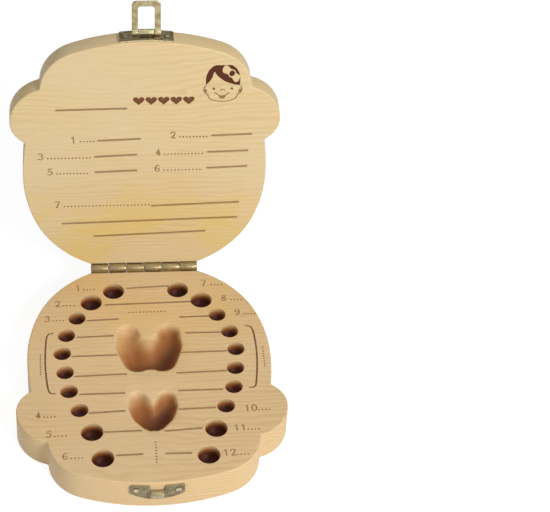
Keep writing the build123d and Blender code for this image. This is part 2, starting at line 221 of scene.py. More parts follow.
def around(line, half):
    """The loop that runs half a width away from an open line, with round ends."""
    line = np.array(line, float)
    right, left = shifted(line, half, False), shifted(line, -half, False)
    caps = []
    for tip, inner in ((line[-1], line[-2]), (line[0], line[1])):
        out = degrees_of(tip - inner)
        caps.append(ring(tip[0], tip[1], half, count=4, start=out - 90, sweep=180)[1:-1])
    return np.concatenate([right, caps[0], left[::-1], caps[1]])


def degrees_of(step):
    """Direction of a step, in degrees."""
    return np.degrees(np.arctan2(step[1], step[0]))


def anticlockwise(loop):
    """The same loop, drawn anticlockwise."""
    loop = np.array(loop, float)
    ahead = np.roll(loop, -1, 0)
    return loop if (loop[:, 0] * ahead[:, 1] - ahead[:, 0] * loop[:, 1]).sum() > 0 else loop[::-1]


# %% [markdown]
# A cut is a small dictionary: the loops that must show up as edges, a depth for any point, and how
# strongly the cut marks the surface. The marks become attributes, and the materials read them: burn is
# charred, hair is toasted, hollow is scorch with painted shade towards the floor of a deep hollow and
# burnt print in the lid's small stamp, and edge is rubbed.

# %% Cuts
FOOT_SHARE = 0.78
SUNK_DEPTH, SUNK_WALL = 0.4, 0.16


def groove(line, width, depth, closed=False, burn=1.0):
    """A burnt line cut by a laser, with sloping sides and a flat foot."""
    half, foot = width / 2, width / 2 * FOOT_SHARE
    if closed:
        lines = [shifted(line, side) for side in (half, foot, -foot, -half)]
    else:
        lines = [around(line, half), around(line, foot)]

    def level(points):
        return np.clip((half - distance(points, line, closed)) / (half - foot), 0, 1)

    return {"loops": lines, "depth": lambda p: depth * level(p), "burn": lambda p: burn * level(p)}


def sunk(loop, kept=(), depth=SUNK_DEPTH, wall=SUNK_WALL, **marks):
    """A flat-floored recess with islands that stay at the top."""
    loop, kept = anticlockwise(loop), [anticlockwise(k) for k in kept]

    def level(points):
        room = sunk_in(points, loop)
        for island in kept:
            room = np.minimum(room, -sunk_in(points, island))
        return np.clip(room / wall, 0, 1)

    cut = {"loops": [loop, shifted(loop, -wall)] + [line for k in kept for line in (k, shifted(k, wall))],
           "depth": lambda p: depth * level(p)}
    for name, amount in marks.items():
        cut[name] = lambda p, amount=amount: amount * level(p)
    return cut


def behind(cut, cover):
    """A cut that stops at the edge of a shape in front of it."""
    hidden = {name: lambda p, old=cut[name]: old(p) * ~inside(p, cover) for name in ("depth", "burn")}
    return {**cut, **hidden}


def dish(x, y, floor, rim, count, depth, burn, points=()):
    """A round dish, flat out to one radius and rising to the other."""
    def level(p):
        return np.interp(np.hypot(p[:, 0] - x, p[:, 1] - y), (floor, rim), (1.0, 0.0))

    return {"loops": [ring(x, y, r, count=count) for r in (rim, floor)], "points": points,
            "depth": lambda p: depth * level(p), "burn": lambda p: burn * level(p)}


# %% Fill the drawing with triangles and push it down
CUT_GAP = 0.002
RIM_REACH = 1.3
RIM_STEPS = (0.0, 0.38, 0.71, 0.92, 1.0)


def rim_drop(inset, rim):
    """How far a rounded rim has dropped at a distance from the outline."""
    away = np.clip(rim - inset, 0, rim)
    return rim - np.sqrt(np.maximum(rim ** 2 - away ** 2, 0))


def filled(outline, windows, rim, cuts, guides=()):
    """Corners, triangles, depths and marks of one face of a board."""
    points, edges = [], []

    def add(line, closed=True):
        first = len(points)
        points.extend(Vector((float(x), float(y))) for x, y in line)
        last = len(points) - 1
        edges.extend((k, k + 1) for k in range(first, last))
        if closed:
            edges.append((last, first))

    insets = [0.0] + [rim * (1 - step) for step in RIM_STEPS[::-1][1:]] + [rim * RIM_REACH] if rim else [0.0]
    for inset in insets:
        add(shifted(outline, -inset))
        for window in windows:
            add(shifted(window, inset))
    for cut in cuts:
        for loop in cut["loops"]:
            add(loop)
        for line in cut.get("lines", ()):
            add(line, False)
        points.extend(Vector((float(x), float(y))) for x, y in cut.get("points", ()))
    for line in guides:
        add(line, False)
    corners, _, faces, _, _, _ = delaunay_2d_cdt(points, edges, [], 1, CUT_GAP, False)
    flat = np.array([(c.x, c.y) for c in corners])
    faces = np.array([f[:] for f in faces])
    middle = flat[faces].mean(1)
    keep = inside(middle, outline)
    for window in windows:
        keep &= ~inside(middle, window)
    used, faces = np.unique(faces[keep], return_inverse=True)
    flat, faces = flat[used], faces.reshape(-1, 3)
    inset = distance(flat, outline)
    for window in windows:
        inset = np.minimum(inset, distance(flat, window))
    depth = rim_drop(inset, rim) if rim else np.zeros(len(flat))
    marks = {"edge": np.clip(1 - inset / (rim * RIM_REACH), 0, 1)} if rim else {}
    for cut in cuts:
        depth = np.maximum(depth, cut["depth"](flat))
        for name in cut:
            if name not in ("loops", "lines", "points", "depth"):
                marks[name] = np.maximum(marks.get(name, 0), cut[name](flat))
    return flat, faces, depth, marks


# %% Join two faces into a board
MARKS = ("burn", "hair", "hollow", "edge")


def board(outline, low, high, rim=0.0, top=(), under=(), windows=(), guides=()):
    """A solid with the outline, cut from both faces: its corners, faces and marks."""
    up = filled(outline, windows, rim, top, guides)
    down = filled(outline, windows, rim, under, guides)
    corners = np.concatenate([np.c_[up[0], high - up[2]], np.c_[down[0], low + down[2]]])
    marks = {}
    for m in MARKS:
        marks[m] = np.concatenate([np.zeros(len(side[0])) + side[3].get(m, 0) for side in (up, down)])
    first = len(up[0])
    tree = kdtree.KDTree(len(down[0]))
    for k, (x, y) in enumerate(down[0]):
        tree.insert((x, y, 0), k)
    tree.balance()
    faces = [tuple(f) for f in up[1]] + [tuple(f[::-1] + first) for f in down[1]]
    sides = {(a, b) for f in up[1] for a, b in ((f[0], f[1]), (f[1], f[2]), (f[2], f[0]))}
    for a, b in sides:
        if (b, a) not in sides:
            below = [tree.find((*up[0][c], 0))[1] + first for c in (a, b)]
            faces.append((b, a, below[0], below[1]))
    return corners, faces, marks


# %% Make an object of boards
def shape(name, parts, place=AS_DRAWN, sharp=30.0):
    """An object made of boards or lathe work, in metres at its real place."""
    corners, faces, marks = [], [], {m: [] for m in MARKS}
    for part_corners, part_faces, part_marks in parts:
        shift = sum(len(c) for c in corners)
        corners.append(part_corners)
        faces += [tuple(int(k) + shift for k in f) for f in part_faces]
        for m in MARKS:
            marks[m].append(np.zeros(len(part_corners)) + part_marks.get(m, 0))
    corners = np.concatenate(corners)
    turn = np.array(place)
    placed = (corners @ turn[:3, :3].T + turn[:3, 3]) * MM
    mesh = bpy.data.meshes.new(name)
    mesh.from_pydata(placed.tolist(), [], faces)
    for m in MARKS:
        values = np.concatenate(marks[m])
        if values.any():
            mesh.attributes.new(m, "FLOAT", "POINT").data.foreach_set("value", values.astype(np.float32))
    mesh.shade_smooth()
    mesh.set_sharp_from_angle(angle=radians(sharp))
    piece = bpy.data.objects.new(name, mesh)
    bpy.context.scene.collection.objects.link(piece)
    print(name, "faces", len(mesh.polygons))
    return piece


# %% [markdown]
# The tooth hollows are drilled with a round-nosed bit: a short straight wall and a ball-shaped floor.
# On a height drawing such a hole is a set of rings, each with its own depth. Molars get wider ones.

# %% Tooth hollows
ARCH = ((15.2, 52.6, True), (25.9, 45.5, True), (32.8, 35.6, False), (37.9, 24.8, False),
        (40.0, 13.6, False), (38.9, 1.9, False), (37.3, -9.6, False), (32.9, -21.0, False),
        (27.6, -34.1, True), (23.3, -49.2, True))
SMALL_HOLLOW, MOLAR_HOLLOW = (4.0, 6.0), (5.0, 7.5)
HOLLOW_DARK = 5.0


def hollow(x, y, radius, depth):
    """A drilled hole with a ball floor and a slightly broken edge."""
    lean = np.radians([0, 12, 24, 36, 48, 60, 70, 80, 88])
    radii = list(radius * np.sin(lean)) + [radius, radius + 0.03, radius + 0.16]
    depths = list(depth - radius + radius * np.cos(lean)) + [(depth - radius) * 0.5, 0.14, 0.0]
    loops = [ring(x, y, r, count=12 if r < 1 else 24 if r < 2.6 else 44) for r in radii[1:]]

    def level(points):
        return np.interp(np.hypot(points[:, 0] - x, points[:, 1] - y), radii, depths)

    # The hollow mark darkens the hole with depth: partly scorch, partly painted shade towards the floor.
    return {"loops": loops, "points": [(x, y)], "depth": level,
            "hollow": lambda p: np.clip(level(p) / HOLLOW_DARK, 0, 1) ** 1.5}


base_cuts = []
for x, y, molar in ARCH:
    for side in (-1, 1):
        base_cuts.append(hollow(side * x, y, *(MOLAR_HOLLOW if molar else SMALL_HOLLOW)))
print("tooth hollows", len(base_cuts))

# %% [markdown]
# The two big hollows are cut by a ball that travels and changes size, once for each half. A smooth
# maximum joins the cuts: it is the deeper one, eased over a small blend where two are alike, as sanding
# leaves it. Sanding also rounds the lip, and between the lobes it leaves a tongue of wood, so the depth
# fades there. The floor darkens with depth, partly scorch and partly painted shade, and it darkens more
# towards the near right, which is painted shade on the walls that face away from the light.

# %% A bowl cut by a travelling ball
BLEND = 3.2
# How dark the bowls get with depth: scorch and painted shade together.
BOWL_SCORCH_AND_SHADE = 0.62
LIP, LIP_DROP = 0.9, 0.5
GRID, BOWL_REACH = 0.75, 24.0
# How much more painted shade the bowls get towards the near right.
NEAR_RIGHT_SHADE = (0.026, -0.012)


def ball_path(stops, points):
    """Signed depth of a cut by a ball that goes from stop to stop."""
    best = np.full(len(points), -99.0)
    for (x0, y0, r0), (x1, y1, r1) in zip(stops, stops[1:]):
        for t in np.linspace(0, 1, 30):
            x, y, r = x0 + (x1 - x0) * t, y0 + (y1 - y0) * t, r0 + (r1 - r0) * t
            room = r * r - (points[:, 0] - x) ** 2 - (points[:, 1] - y) ** 2
            best = np.maximum(best, np.where(room > 0, np.sqrt(np.maximum(room, 0)), room / (2 * r)))
    return best


def eased(a, b):
    """The larger of two depths, rounded where they are alike."""
    near = np.maximum(BLEND - np.abs(a - b), 0) / BLEND
    return np.maximum(a, b) + near ** 2 * BLEND / 4


def evenly(loop, step):
    """The same loop with its corners an even step apart."""
    closed = np.vstack([loop, loop[:1]])
    walked = np.concatenate([[0], np.cumsum(np.hypot(*np.diff(closed, axis=0).T))])
    stops = np.linspace(0, walked[-1], int(walked[-1] / step), endpoint=False)
    return np.c_[np.interp(stops, walked, closed[:, 0]), np.interp(stops, walked, closed[:, 1])]


def bowl(center, paths, deepest, tongue):
    """A hollow that several ball paths leave together, with a sanded tongue between its lobes."""
    def signed(points):
        total = ball_path(paths[0], points)
        for path in paths[1:]:
            total = eased(total, ball_path(path, points))
        return total

    angles = np.radians(np.arange(0, 360, 1.0))
    rays = np.c_[np.cos(angles), np.sin(angles)]
    low, high = np.zeros(len(rays)), np.full(len(rays), BOWL_REACH)
    for _ in range(22):
        half = (low + high) / 2
        cut = signed(np.array(center) + rays * half[:, None]) > 0
        low, high = np.where(cut, half, low), np.where(cut, high, half)
    edge = evenly(np.array(center) + rays * low[:, None], 0.7)
    steps = np.arange(-BOWL_REACH, BOWL_REACH, GRID)
    grid = np.stack(np.meshgrid(steps, steps), -1).reshape(-1, 2) + center
    grid = grid[inside(grid, edge) & (distance(grid, edge) > GRID * 0.8)]
    root, wide, long, height = tongue

    def level(points):
        lip = LIP_DROP * (1 - np.clip(distance(points, edge) / LIP, 0, 1)) ** 2
        within = np.sqrt(signed(points).clip(0) ** 2 + LIP_DROP ** 2)
        ridge = height * np.exp(-(points[:, 0] / wide) ** 2 - ((points[:, 1] - root) / long) ** 2)
        return np.where(inside(points, edge), within, lip) * (1 - ridge)

    # Scorch and painted shade: darker with depth, and darker towards the near right as painted shade.
    def scorch(points):
        near_right_shade = 1 + (points - center) @ NEAR_RIGHT_SHADE
        return np.clip(level(points) / deepest, 0, 1) ** 0.8 * BOWL_SCORCH_AND_SHADE * near_right_shade

    loops = [shifted(edge, LIP), shifted(edge, LIP * 0.5), edge]
    return {"loops": loops, "points": grid, "depth": level, "hollow": scorch}


# %% The molar bowl and the heart bowl
def both_sides(stops):
    """A path and its mirror image."""
    return [[(side * x, y, r) for x, y, r in stops] for side in (-1, 1)]


MOLAR_CENTER, MOLAR_DEEPEST, MOLAR_TONGUE = (0.0, 11.0), 8.0, (21.5, 4.8, 7.5, 0.72)
MOLAR_HALF = ((9.4, 24.9, 5.1), (8.8, 17.0, 6.5), (6.1, 7.2, 5.8))
MOLAR_FLOOR = [[(-across, y, r), (across, y, r)]
               for across, y, r in ((4.8, 17.2, 6.0), (5.4, 13.0, 7.0), (4.4, 9.4, 6.6))]
HEART_CENTER, HEART_DEEPEST, HEART_TONGUE = (0.0, -24.0), 6.4, (-15.0, 2.8, 5.0, 0.65)
HEART_HALF = ((6.5, -15.0, 3.9), (5.7, -19.2, 5.5), (3.3, -24.6, 5.9), (0.0, -27.9, 5.8))
HEART_FLOOR = [[(-3.2, -22.8, 6.0), (3.2, -22.8, 6.0)]]
base_cuts.append(bowl(MOLAR_CENTER, both_sides(MOLAR_HALF) + MOLAR_FLOOR, MOLAR_DEEPEST, MOLAR_TONGUE))
base_cuts.append(bowl(HEART_CENTER, both_sides(HEART_HALF) + HEART_FLOOR, HEART_DEEPEST, HEART_TONGUE))
print("cuts with the bowls", len(base_cuts))

# %% [markdown]
# Beside each hollow a ruled line is burnt, and beside that stands the tooth's number. The numbers are
# single-stroke numerals, the kind an engraving machine draws, with a row of dots to write over.

# %% Burnt numerals, dots and rules
NUMERALS = {
    "0": [(0.3, 1), (0.08, 0.86), (0, 0.5), (0.08, 0.14), (0.3, 0), (0.52, 0.14), (0.6, 0.5),
          (0.52, 0.86), (0.3, 1)],
    "1": [(0.1, 0.78), (0.32, 1), (0.32, 0)],
    "2": [(0.03, 0.76), (0.12, 0.95), (0.32, 1), (0.52, 0.93), (0.56, 0.7), (0.42, 0.44), (0, 0), (0.6, 0)],
    "3": [(0.04, 0.92), (0.3, 1), (0.53, 0.88), (0.52, 0.64), (0.26, 0.53), (0.54, 0.42), (0.58, 0.16),
          (0.34, 0), (0, 0.1)],
    "4": [(0.44, 0), (0.44, 1), (0, 0.3), (0.62, 0.3)],
    "5": [(0.54, 1), (0.1, 1), (0.06, 0.56), (0.32, 0.62), (0.56, 0.46), (0.56, 0.16), (0.3, 0), (0, 0.1)],
    "6": [(0.5, 0.94), (0.26, 0.98), (0.06, 0.66), (0.02, 0.26), (0.2, 0.01), (0.44, 0.03), (0.58, 0.26),
          (0.46, 0.5), (0.2, 0.52), (0.04, 0.36)],
    "7": [(0, 1), (0.58, 1), (0.2, 0)],
    "8": [(0.3, 0.54), (0.08, 0.68), (0.08, 0.9), (0.3, 1), (0.52, 0.9), (0.52, 0.68), (0.3, 0.54),
          (0.04, 0.36), (0.06, 0.08), (0.3, 0), (0.54, 0.08), (0.56, 0.36), (0.3, 0.54)],
}
NUMERALS["9"] = [(0.6 - x, 1 - y) for x, y in NUMERALS["6"]]
RULE_WIDTH, RULE_DEPTH, RULE_BURN = 1.25, 0.3, 0.75
NUMERAL_HEIGHT, NUMERAL_STROKE, NUMERAL_BURN = 3.6, 0.62, 0.85
DIGIT_STEP, DIGIT_GAP = 0.85, 0.25
DOT_PITCH, DOT_RADIUS, DOT_DEPTH, DOT_WALL = 1.6, 0.5, 0.2, 0.2


def rule(x0, y0, x1, y1):
    """A ruled line."""
    return groove(np.linspace((x0, y0), (x1, y1), 6), RULE_WIDTH, RULE_DEPTH, burn=RULE_BURN)


def number(text, x, y, up=1):
    """A numeral centred at a place, drawn upwards or downwards on the drawing."""
    left = x - (DIGIT_STEP * len(text) - DIGIT_GAP) * NUMERAL_HEIGHT / 2
    cuts = []
    for k, digit in enumerate(text):
        line = [(left + (u + DIGIT_STEP * k) * NUMERAL_HEIGHT, y + up * (v - 0.5) * NUMERAL_HEIGHT)
                for u, v in NUMERALS[digit]]
        cuts.append(groove(line, NUMERAL_STROKE, RULE_DEPTH, burn=NUMERAL_BURN))
    return cuts


def dots(x0, y0, x1, y1):
    """A row of burnt dots."""
    count = max(2, round(hypot(x1 - x0, y1 - y0) / DOT_PITCH) + 1)
    return [sunk(ring(x, y, DOT_RADIUS, count=10), depth=DOT_DEPTH, wall=DOT_WALL, burn=1.0)
            for x, y in np.linspace((x0, y0), (x1, y1), count)]


print("numerals", "".join(sorted(NUMERALS)))

# %% Lines and labels on the base
BASE_RULES = ((-8.6, 54.4, 11.1, 55.3), (-19.1, 43.8, 21.7, 44.6), (-28, 33.9, -13.6, 34.5),
              (15.4, 34.7, 29.1, 34.9), (-32.9, 23.5, -16.5, 23.9), (17.6, 24.4, 34, 24.3),
              (-35.4, 11.6, -15.1, 11.8), (15, 12.2, 35.3, 12.4), (-34.3, -0.7, -11.2, -0.1),
              (12, -0.4, 34.3, 0.2), (-32.3, -11.6, -12.5, -11.6), (12.3, -11.1, 31.9, -11.1),
              (-28.3, -22.9, -12.9, -22.2), (11.9, -22.2, 27.9, -21.8), (-21.8, -34.2, -5.9, -34),
              (5, -34.7, 20.8, -33.7), (-17, -47.8, -6, -47.5), (4.5, -47.6, 15.5, -47.8))
LEFT_BRACKET = ((-44.1, 26.4), (-46.2, 25.6), (-47.2, 22), (-47.8, 8.7), (-47.1, -4), (-46.0, -10),
                (-43.6, -10.9))
RIGHT_BRACKET = ((45.6, 27.9), (47.9, 27.2), (49.0, 23.4), (49.5, 14.3), (49.1, 4), (47.8, -7),
                 (46.9, -10), (44.6, -10.6))
BRACKET_WIDTH = 0.85
LEFT_LABELS = ((-28.7, 55.3), (-38.5, 45.2), (-43.5, 35.6), (-48.3, -23.2), (-43.6, -34.5), (-36.6, -47.3))
RIGHT_LABELS = ((31, 56.6), (39.8, 46.3), (45.5, 36.9), (47.1, -22.7), (41.4, -34), (35.6, -48.2))
LABEL_LEAD, LABEL_DROP, LABEL_DOTS = 3.1, 1.3, 4.8
for line in BASE_RULES:
    base_cuts.append(rule(*line))
for line in (LEFT_BRACKET, RIGHT_BRACKET):
    base_cuts.append(groove(through(line), BRACKET_WIDTH, RULE_DEPTH))
for labels, first, start in ((LEFT_LABELS, 1, -0.4), (RIGHT_LABELS, 7, 0.4)):
    for row, (x, y) in enumerate(labels, first):
        base_cuts += number(str(row), x - LABEL_LEAD, y)
        base_cuts += dots(x + start, y - LABEL_DROP, x + start + LABEL_DOTS, y - LABEL_DROP)
base_cuts += dots(-8.2, 38.5, 8.4, 38.5)
base_cuts += dots(-49.9, 13, -49.9, 1) + dots(52.5, 14.5, 52.5, 2.5)
base_cuts += dots(0.2, -41, 0.2, -52.4)
print("cuts in the base", len(base_cuts))

# %% Base board
base_wood_piece = shape("base_board", [board(HEAD, 0.0, BASE_TOP, RIM_ROUND, top=base_cuts)])

# %% [markdown]
# The lid's outer side is the child's face in pyrography: the hair, the mouth and the marks in the ears
# are sunk and toasted, the bow and the skin stay at the top, and a dark line runs round every shape.

# %% Lines of the face
HAIR_LEFT = through(((-28.2, 41.3), (-31, 33.5), (-32.7, 25.1), (-35.5, 18.6), (-40.9, 9.6), (-48.9, -0.1),
                     (-56.5, -8.6)))
HAIR_RIGHT = through(((-28.2, 41.3), (-22.1, 31.2), (-17, 25.3), (-11.9, 20.3), (-6.9, 16), (3.2, 8.7),
                      (13.3, 3.5), (23.3, -0.3), (33.3, -3.6), (43.2, -5.9), (58.0, -8.3)))
HAIR = np.concatenate([HAIR_RIGHT, [(62, -8.3), (62, 70), (-60, 70), (-60, -8.6)], HAIR_LEFT[::-1][:-1]])
BOW_LEFT = through(((-1.9, 40), (-2.7, 47.1), (-0.8, 54.5), (2.6, 60.4), (6.4, 62.6), (10.6, 62.4),
                    (14.4, 60.6), (18.2, 56.4), (23.2, 51.0), (26.5, 46.6), (24.0, 36.0), (18.6, 30.4),
                    (15.5, 31.0), (9.4, 33.3), (3.0, 36.2)), True)
BOW_RIGHT = through(((39.5, 36.2), (45.5, 31.8), (49.4, 29.3), (52.0, 26.8), (53.2, 23.8), (52.8, 18.1),
                     (50.2, 9.6), (46.5, 6.0), (42.3, 4.2), (38.5, 4.4), (34.8, 7.6), (30.2, 15.1),
                     (27.0, 20.0), (30.0, 30.0)), True)
KNOT_CENTER, KNOT_TILT = (27.6, 34.3), -16
KNOT_OUTER = ring(*KNOT_CENTER, 12.4, 14.1, 60, KNOT_TILT)
KNOT_INNER = ring(*KNOT_CENTER, 9.2, 10.9, 52, KNOT_TILT)
BOW_DOTS = ((11.3, 55.0), (4.8, 44.1), (16.3, 42.8), (37.1, 25.2), (47.6, 20.6), (40.2, 12))
SMILE = through(((-25.6, -35.8), (-22.9, -32.6), (-18.7, -37.4), (-14.3, -41.2), (-8.8, -43.4),
                 (-3.8, -44.3), (1.2, -43.9), (6.3, -42.9), (11.4, -40.7), (16.6, -35.9), (19.2, -33.0),
                 (22.1, -36)))
MOUTH = through(((-14.3, -41.2), (-12, -47.3), (-9.1, -51.9), (-6.2, -54.4), (-1.7, -55.4), (2.8, -54.6),
                 (7.4, -51.1), (10.1, -46.7), (11.3, -40.9), (6.3, -42.7), (1.2, -43.9), (-3.8, -44.3),
                 (-8.8, -43.4)), True)
TONGUE_CIRCLE = (-0.9, -57.0, 10.0)
TONGUE = ring(*TONGUE_CIRCLE, count=40, start=8, sweep=164)
NOSE = through(((-7.2, -25.8), (-4.1, -22.1), (-1, -21.1), (2.1, -21.7), (7, -25.3)))
LASHES = (((-35.5, -8.5), (-33, -14.4)), ((-37.6, -11.6), (-34.1, -15.9)), ((33.7, -9.4), (32.7, -14.3)),
          ((36.3, -13.1), (34.1, -16.6)))
EAR_MARK = through(((54.6, -18.0), (57.4, -20.4), (58.9, -24.6), (57.2, -28.6), (53.6, -32.2), (50.0, -34.2),
                    (49.8, -29.8), (51.2, -23.4)), True)
EYES = ((-28.8, -19.2), (28.8, -19.2))
BOW_DOT_RADIUS, EYE_RADII, PUPIL_RADII = 3.4, (5.3, 6.0), (2.6, 3.0)
print("hair line points", len(HAIR_LEFT) + len(HAIR_RIGHT))

# %% Cuts of the face
LINE_WIDTH, LINE_DEPTH, LINE_BURN = 0.62, 0.55, 0.75
BOLD_WIDTH, BOLD_BURN = 0.8, 0.85


def contour(line, closed=False, burn=LINE_BURN):
    """A burnt line round a shape."""
    return groove(line, LINE_WIDTH, LINE_DEPTH, closed, burn)


def bold(line, closed=False, width=BOLD_WIDTH):
    """A wider and darker line, as round the eyes and the mouth."""
    return groove(line, width, LINE_DEPTH, closed, BOLD_BURN)


def mirrored(line):
    """The line on the other half of the head."""
    return [(-x, y) for x, y in line]


face_cuts = [sunk(HAIR, kept=(BOW_LEFT, BOW_RIGHT, KNOT_OUTER), hair=1.0), sunk(KNOT_INNER, hair=0.8)]
face_cuts += [contour(loop, True) for loop in (KNOT_OUTER, KNOT_INNER)]
face_cuts += [behind(contour(loop, True), KNOT_OUTER) for loop in (BOW_LEFT, BOW_RIGHT)]
face_cuts += [contour(line, burn=0.7) for line in (HAIR_LEFT, HAIR_RIGHT)]
for x, y in BOW_DOTS:
    spot = ring(x, y, BOW_DOT_RADIUS, count=36)
    face_cuts += [sunk(spot, hair=0.8), contour(spot, True)]
for x, y in EYES:
    eye_ring, pupil = ring(x, y, *EYE_RADII, 44), ring(x, y, *PUPIL_RADII, 30)
    face_cuts += [sunk(eye_ring, kept=(pupil,), hair=0.9), bold(eye_ring, True), bold(pupil, True)]
for line in LASHES:
    face_cuts.append(bold(np.linspace(*line, 4)))
for ear in (EAR_MARK, anticlockwise(mirrored(EAR_MARK))):
    face_cuts += [sunk(ear, hair=0.9), contour(ear, True)]
face_cuts += [sunk(MOUTH, kept=(TONGUE,), hair=1.0, burn=0.28), bold(MOUTH, True)]
face_cuts.append(bold(ring(*TONGUE_CIRCLE, count=30, start=38, sweep=104), width=0.7))
face_cuts += [bold(SMILE), groove(NOSE, 0.7, LINE_DEPTH, burn=0.8)]
print("cuts in the face", len(face_cuts))

# %% [markdown]
# Inside the lid is a form to fill in: ruled lines, numbered, a row of small hearts for its heading and
# the child's head again as a small stamp. With the lid up this side is upside down on the drawing, so
# whatever has a top is drawn downwards.

# %% Lines of the form inside the lid
FORM_RULES = ((-40, -27.6, -8.9, -28.1), (-21.5, -9.9, -2.7, -10.6), (30.3, -11.9, 48.1, -12.4),
              (-22.9, -0.6, -4.2, -1.5), (28.7, -2.3, 46.6, -2.8), (-22.9, 8.5, -4.2, 7.8),
              (28.5, 7.1, 46.6, 6.4), (3.4, 29.4, 43.7, 28), (-38.3, 39.3, 43.2, 37.3),
              (-23.5, 47.5, 28.3, 45.6))
FORM_LABELS = (("1", -32.6, -10.7, 9.2), ("2", 12.4, -12.5, 15.4), ("3", -47.6, -1.2, 22.4),
               ("4", 5.6, -2.6, 20.4), ("5", -43.6, 7.9, 17), ("6", 5.5, 6.8, 19.8),
               ("7", -40.5, 27.6, 42.4))
HEARTS, FIRST_HEART, HEART_SIZE, HEART_SPAN = 5, (-3.3, -32.4), 5.6, 34
form_cuts = [rule(*line) for line in FORM_RULES]
for text, x, y, length in FORM_LABELS:
    form_cuts += number(text, x, y, -1) + dots(x + 3.2, y + 1.2, x + length, y + 1.2)


def small_heart(x, y):
    """A heart that stands the right way up with the lid raised."""
    t = np.radians(np.arange(0, 360, 12))
    across = 16 * np.sin(t) ** 3
    up = 13 * np.cos(t) - 5 * np.cos(2 * t) - 2 * np.cos(3 * t) - np.cos(4 * t)
    return np.c_[x + across * HEART_SIZE / HEART_SPAN, y - up * HEART_SIZE / HEART_SPAN]


for k in range(HEARTS):
    heart = small_heart(FIRST_HEART[0] + HEART_SIZE * k, FIRST_HEART[1])
    form_cuts.append(sunk(heart, depth=RULE_DEPTH, burn=0.6, hollow=0.85))
print("cuts of the form", len(form_cuts))

# %% The small stamp of the head
STAMP_CENTER, STAMP_SCALE, STAMP_STRETCH = (34.2, -41.4), 0.14, 1.12
STAMP_DEPTH, STAMP_WALL = 0.3, 0.12
STAMP_JAW_WIDTH, STAMP_LINE_WIDTH, STAMP_EYE = 0.5, 0.45, 4.6
EAR_LEVEL, HAIR_STOP, SKULL_SHARE = -9, 54.5, 0.985


def stamped(line):
    """A line of the face, small, in the stamp's place."""
    (x0, y0), up = STAMP_CENTER, STAMP_SCALE * STAMP_STRETCH
    return [(x0 + x * STAMP_SCALE, y0 - y * up) for x, y in line]


def patch(loop, kept=(), wall=STAMP_WALL, **marks):
    """A sunk patch of the stamp."""
    return sunk(stamped(loop), [stamped(k) for k in kept], STAMP_DEPTH, wall, **marks)


skull = [(x * SKULL_SHARE, y * SKULL_SHARE) for x, y in HEAD if y > EAR_LEVEL]
stamp_hair = np.concatenate([[p for p in HAIR_RIGHT if p[0] < HAIR_STOP], skull,
                             [p for p in HAIR_LEFT if p[0] > -HAIR_STOP][::-1][:-1]])
form_cuts.append(patch(stamp_hair[::2], (KNOT_OUTER[::3], BOW_LEFT[::3], BOW_RIGHT[::3]), hollow=1.0))
jaw = [p for p in HEAD if p[1] < EAR_LEVEL]
gaps = [hypot(b[0] - a[0], b[1] - a[1]) for a, b in zip(jaw, jaw[1:])]
after_gap = gaps.index(max(gaps)) + 1
jaw = jaw[after_gap:] + jaw[:after_gap]
form_cuts.append(groove(stamped(jaw[::3]), STAMP_JAW_WIDTH, STAMP_DEPTH, burn=0.9))
for line in (SMILE, NOSE):
    form_cuts.append(groove(stamped(line[::3]), STAMP_LINE_WIDTH, STAMP_DEPTH))
for x, y in EYES:
    form_cuts.append(patch(ring(x, y, STAMP_EYE, count=12), burn=1.0))
form_cuts.append(patch(KNOT_INNER[::5], hollow=0.9))
for loop in (EAR_MARK, mirrored(EAR_MARK), MOUTH):
    form_cuts.append(patch(loop[::3], wall=0.1, burn=0.85))
print("cuts inside the lid", len(form_cuts))

# %% [markdown]
# The hair runs off the board's edge. Its lines are therefore drawn on the underside too, as guides that
# cut nothing, so both faces have the same corners round the rim and the sides close without a gap.

# %% Lid board
hair_edges = [anticlockwise(HAIR), shifted(anticlockwise(HAIR), -SUNK_WALL)]
for line in (HAIR_LEFT, HAIR_RIGHT):
    hair_edges += [around(line, LINE_WIDTH / 2), around(line, LINE_WIDTH / 2 * FOOT_SHARE)]
guides = [np.vstack([edge, edge[:1]]) for edge in hair_edges]
lid_board = board(HEAD, LID_UNDER, LID_TOP, RIM_ROUND, top=face_cuts, under=form_cuts, guides=guides)
lid_wood_piece = shape("lid_board", [lid_board], LIFT_LID)

# %% [markdown]
# The hinge is a strip: two leaves of sheet brass whose fingers are rolled round one pin. A leaf is a flat
# board of metal. A knuckle is the end view of the rolled sheet, drawn once and pulled out sideways.

# %% Bend a flat drawing into its place
CROWN_Y = CROWN_END[1]
HINGE_SHEET = 0.9
HINGE_WIDTH = 50.8
KNUCKLES, KNUCKLE_GAP = 6, 0.2
KNUCKLE_PITCH = HINGE_WIDTH / KNUCKLES
KNUCKLE_WIDTH = KNUCKLE_PITCH - KNUCKLE_GAP
LEAF_FOOT, LEAF_HEIGHT, LEAF_CORNER = 2.7, 8.6, 0.5
SCREW_ROW = (LEAF_FOOT + LEAF_HEIGHT) / 2
SCREW_PITCH = 12.7
METAL_RIM, ROLL_RIM = 0.16, 0.12


def placed(part, to_place):
    """A part moved by a function that takes and gives x, y and z."""
    corners, faces, marks = part
    return np.array([to_place(*c) for c in corners]), faces, marks


def flipped(part):
    """A part with its faces turned over, after a move that mirrors it."""
    corners, faces, marks = part
    return corners, [tuple(f)[::-1] for f in faces], marks


def box_line(x0, y0, x1, y1, corner):
    """A rectangle with rounded corners."""
    out = []
    for cx, cy, start in ((x1 - corner, y1 - corner, 0), (x0 + corner, y1 - corner, 90),
                          (x0 + corner, y0 + corner, 180), (x1 - corner, y0 + corner, 270)):
        out += [tuple(p) for p in ring(cx, cy, corner, count=5, start=start, sweep=90)]
    return out


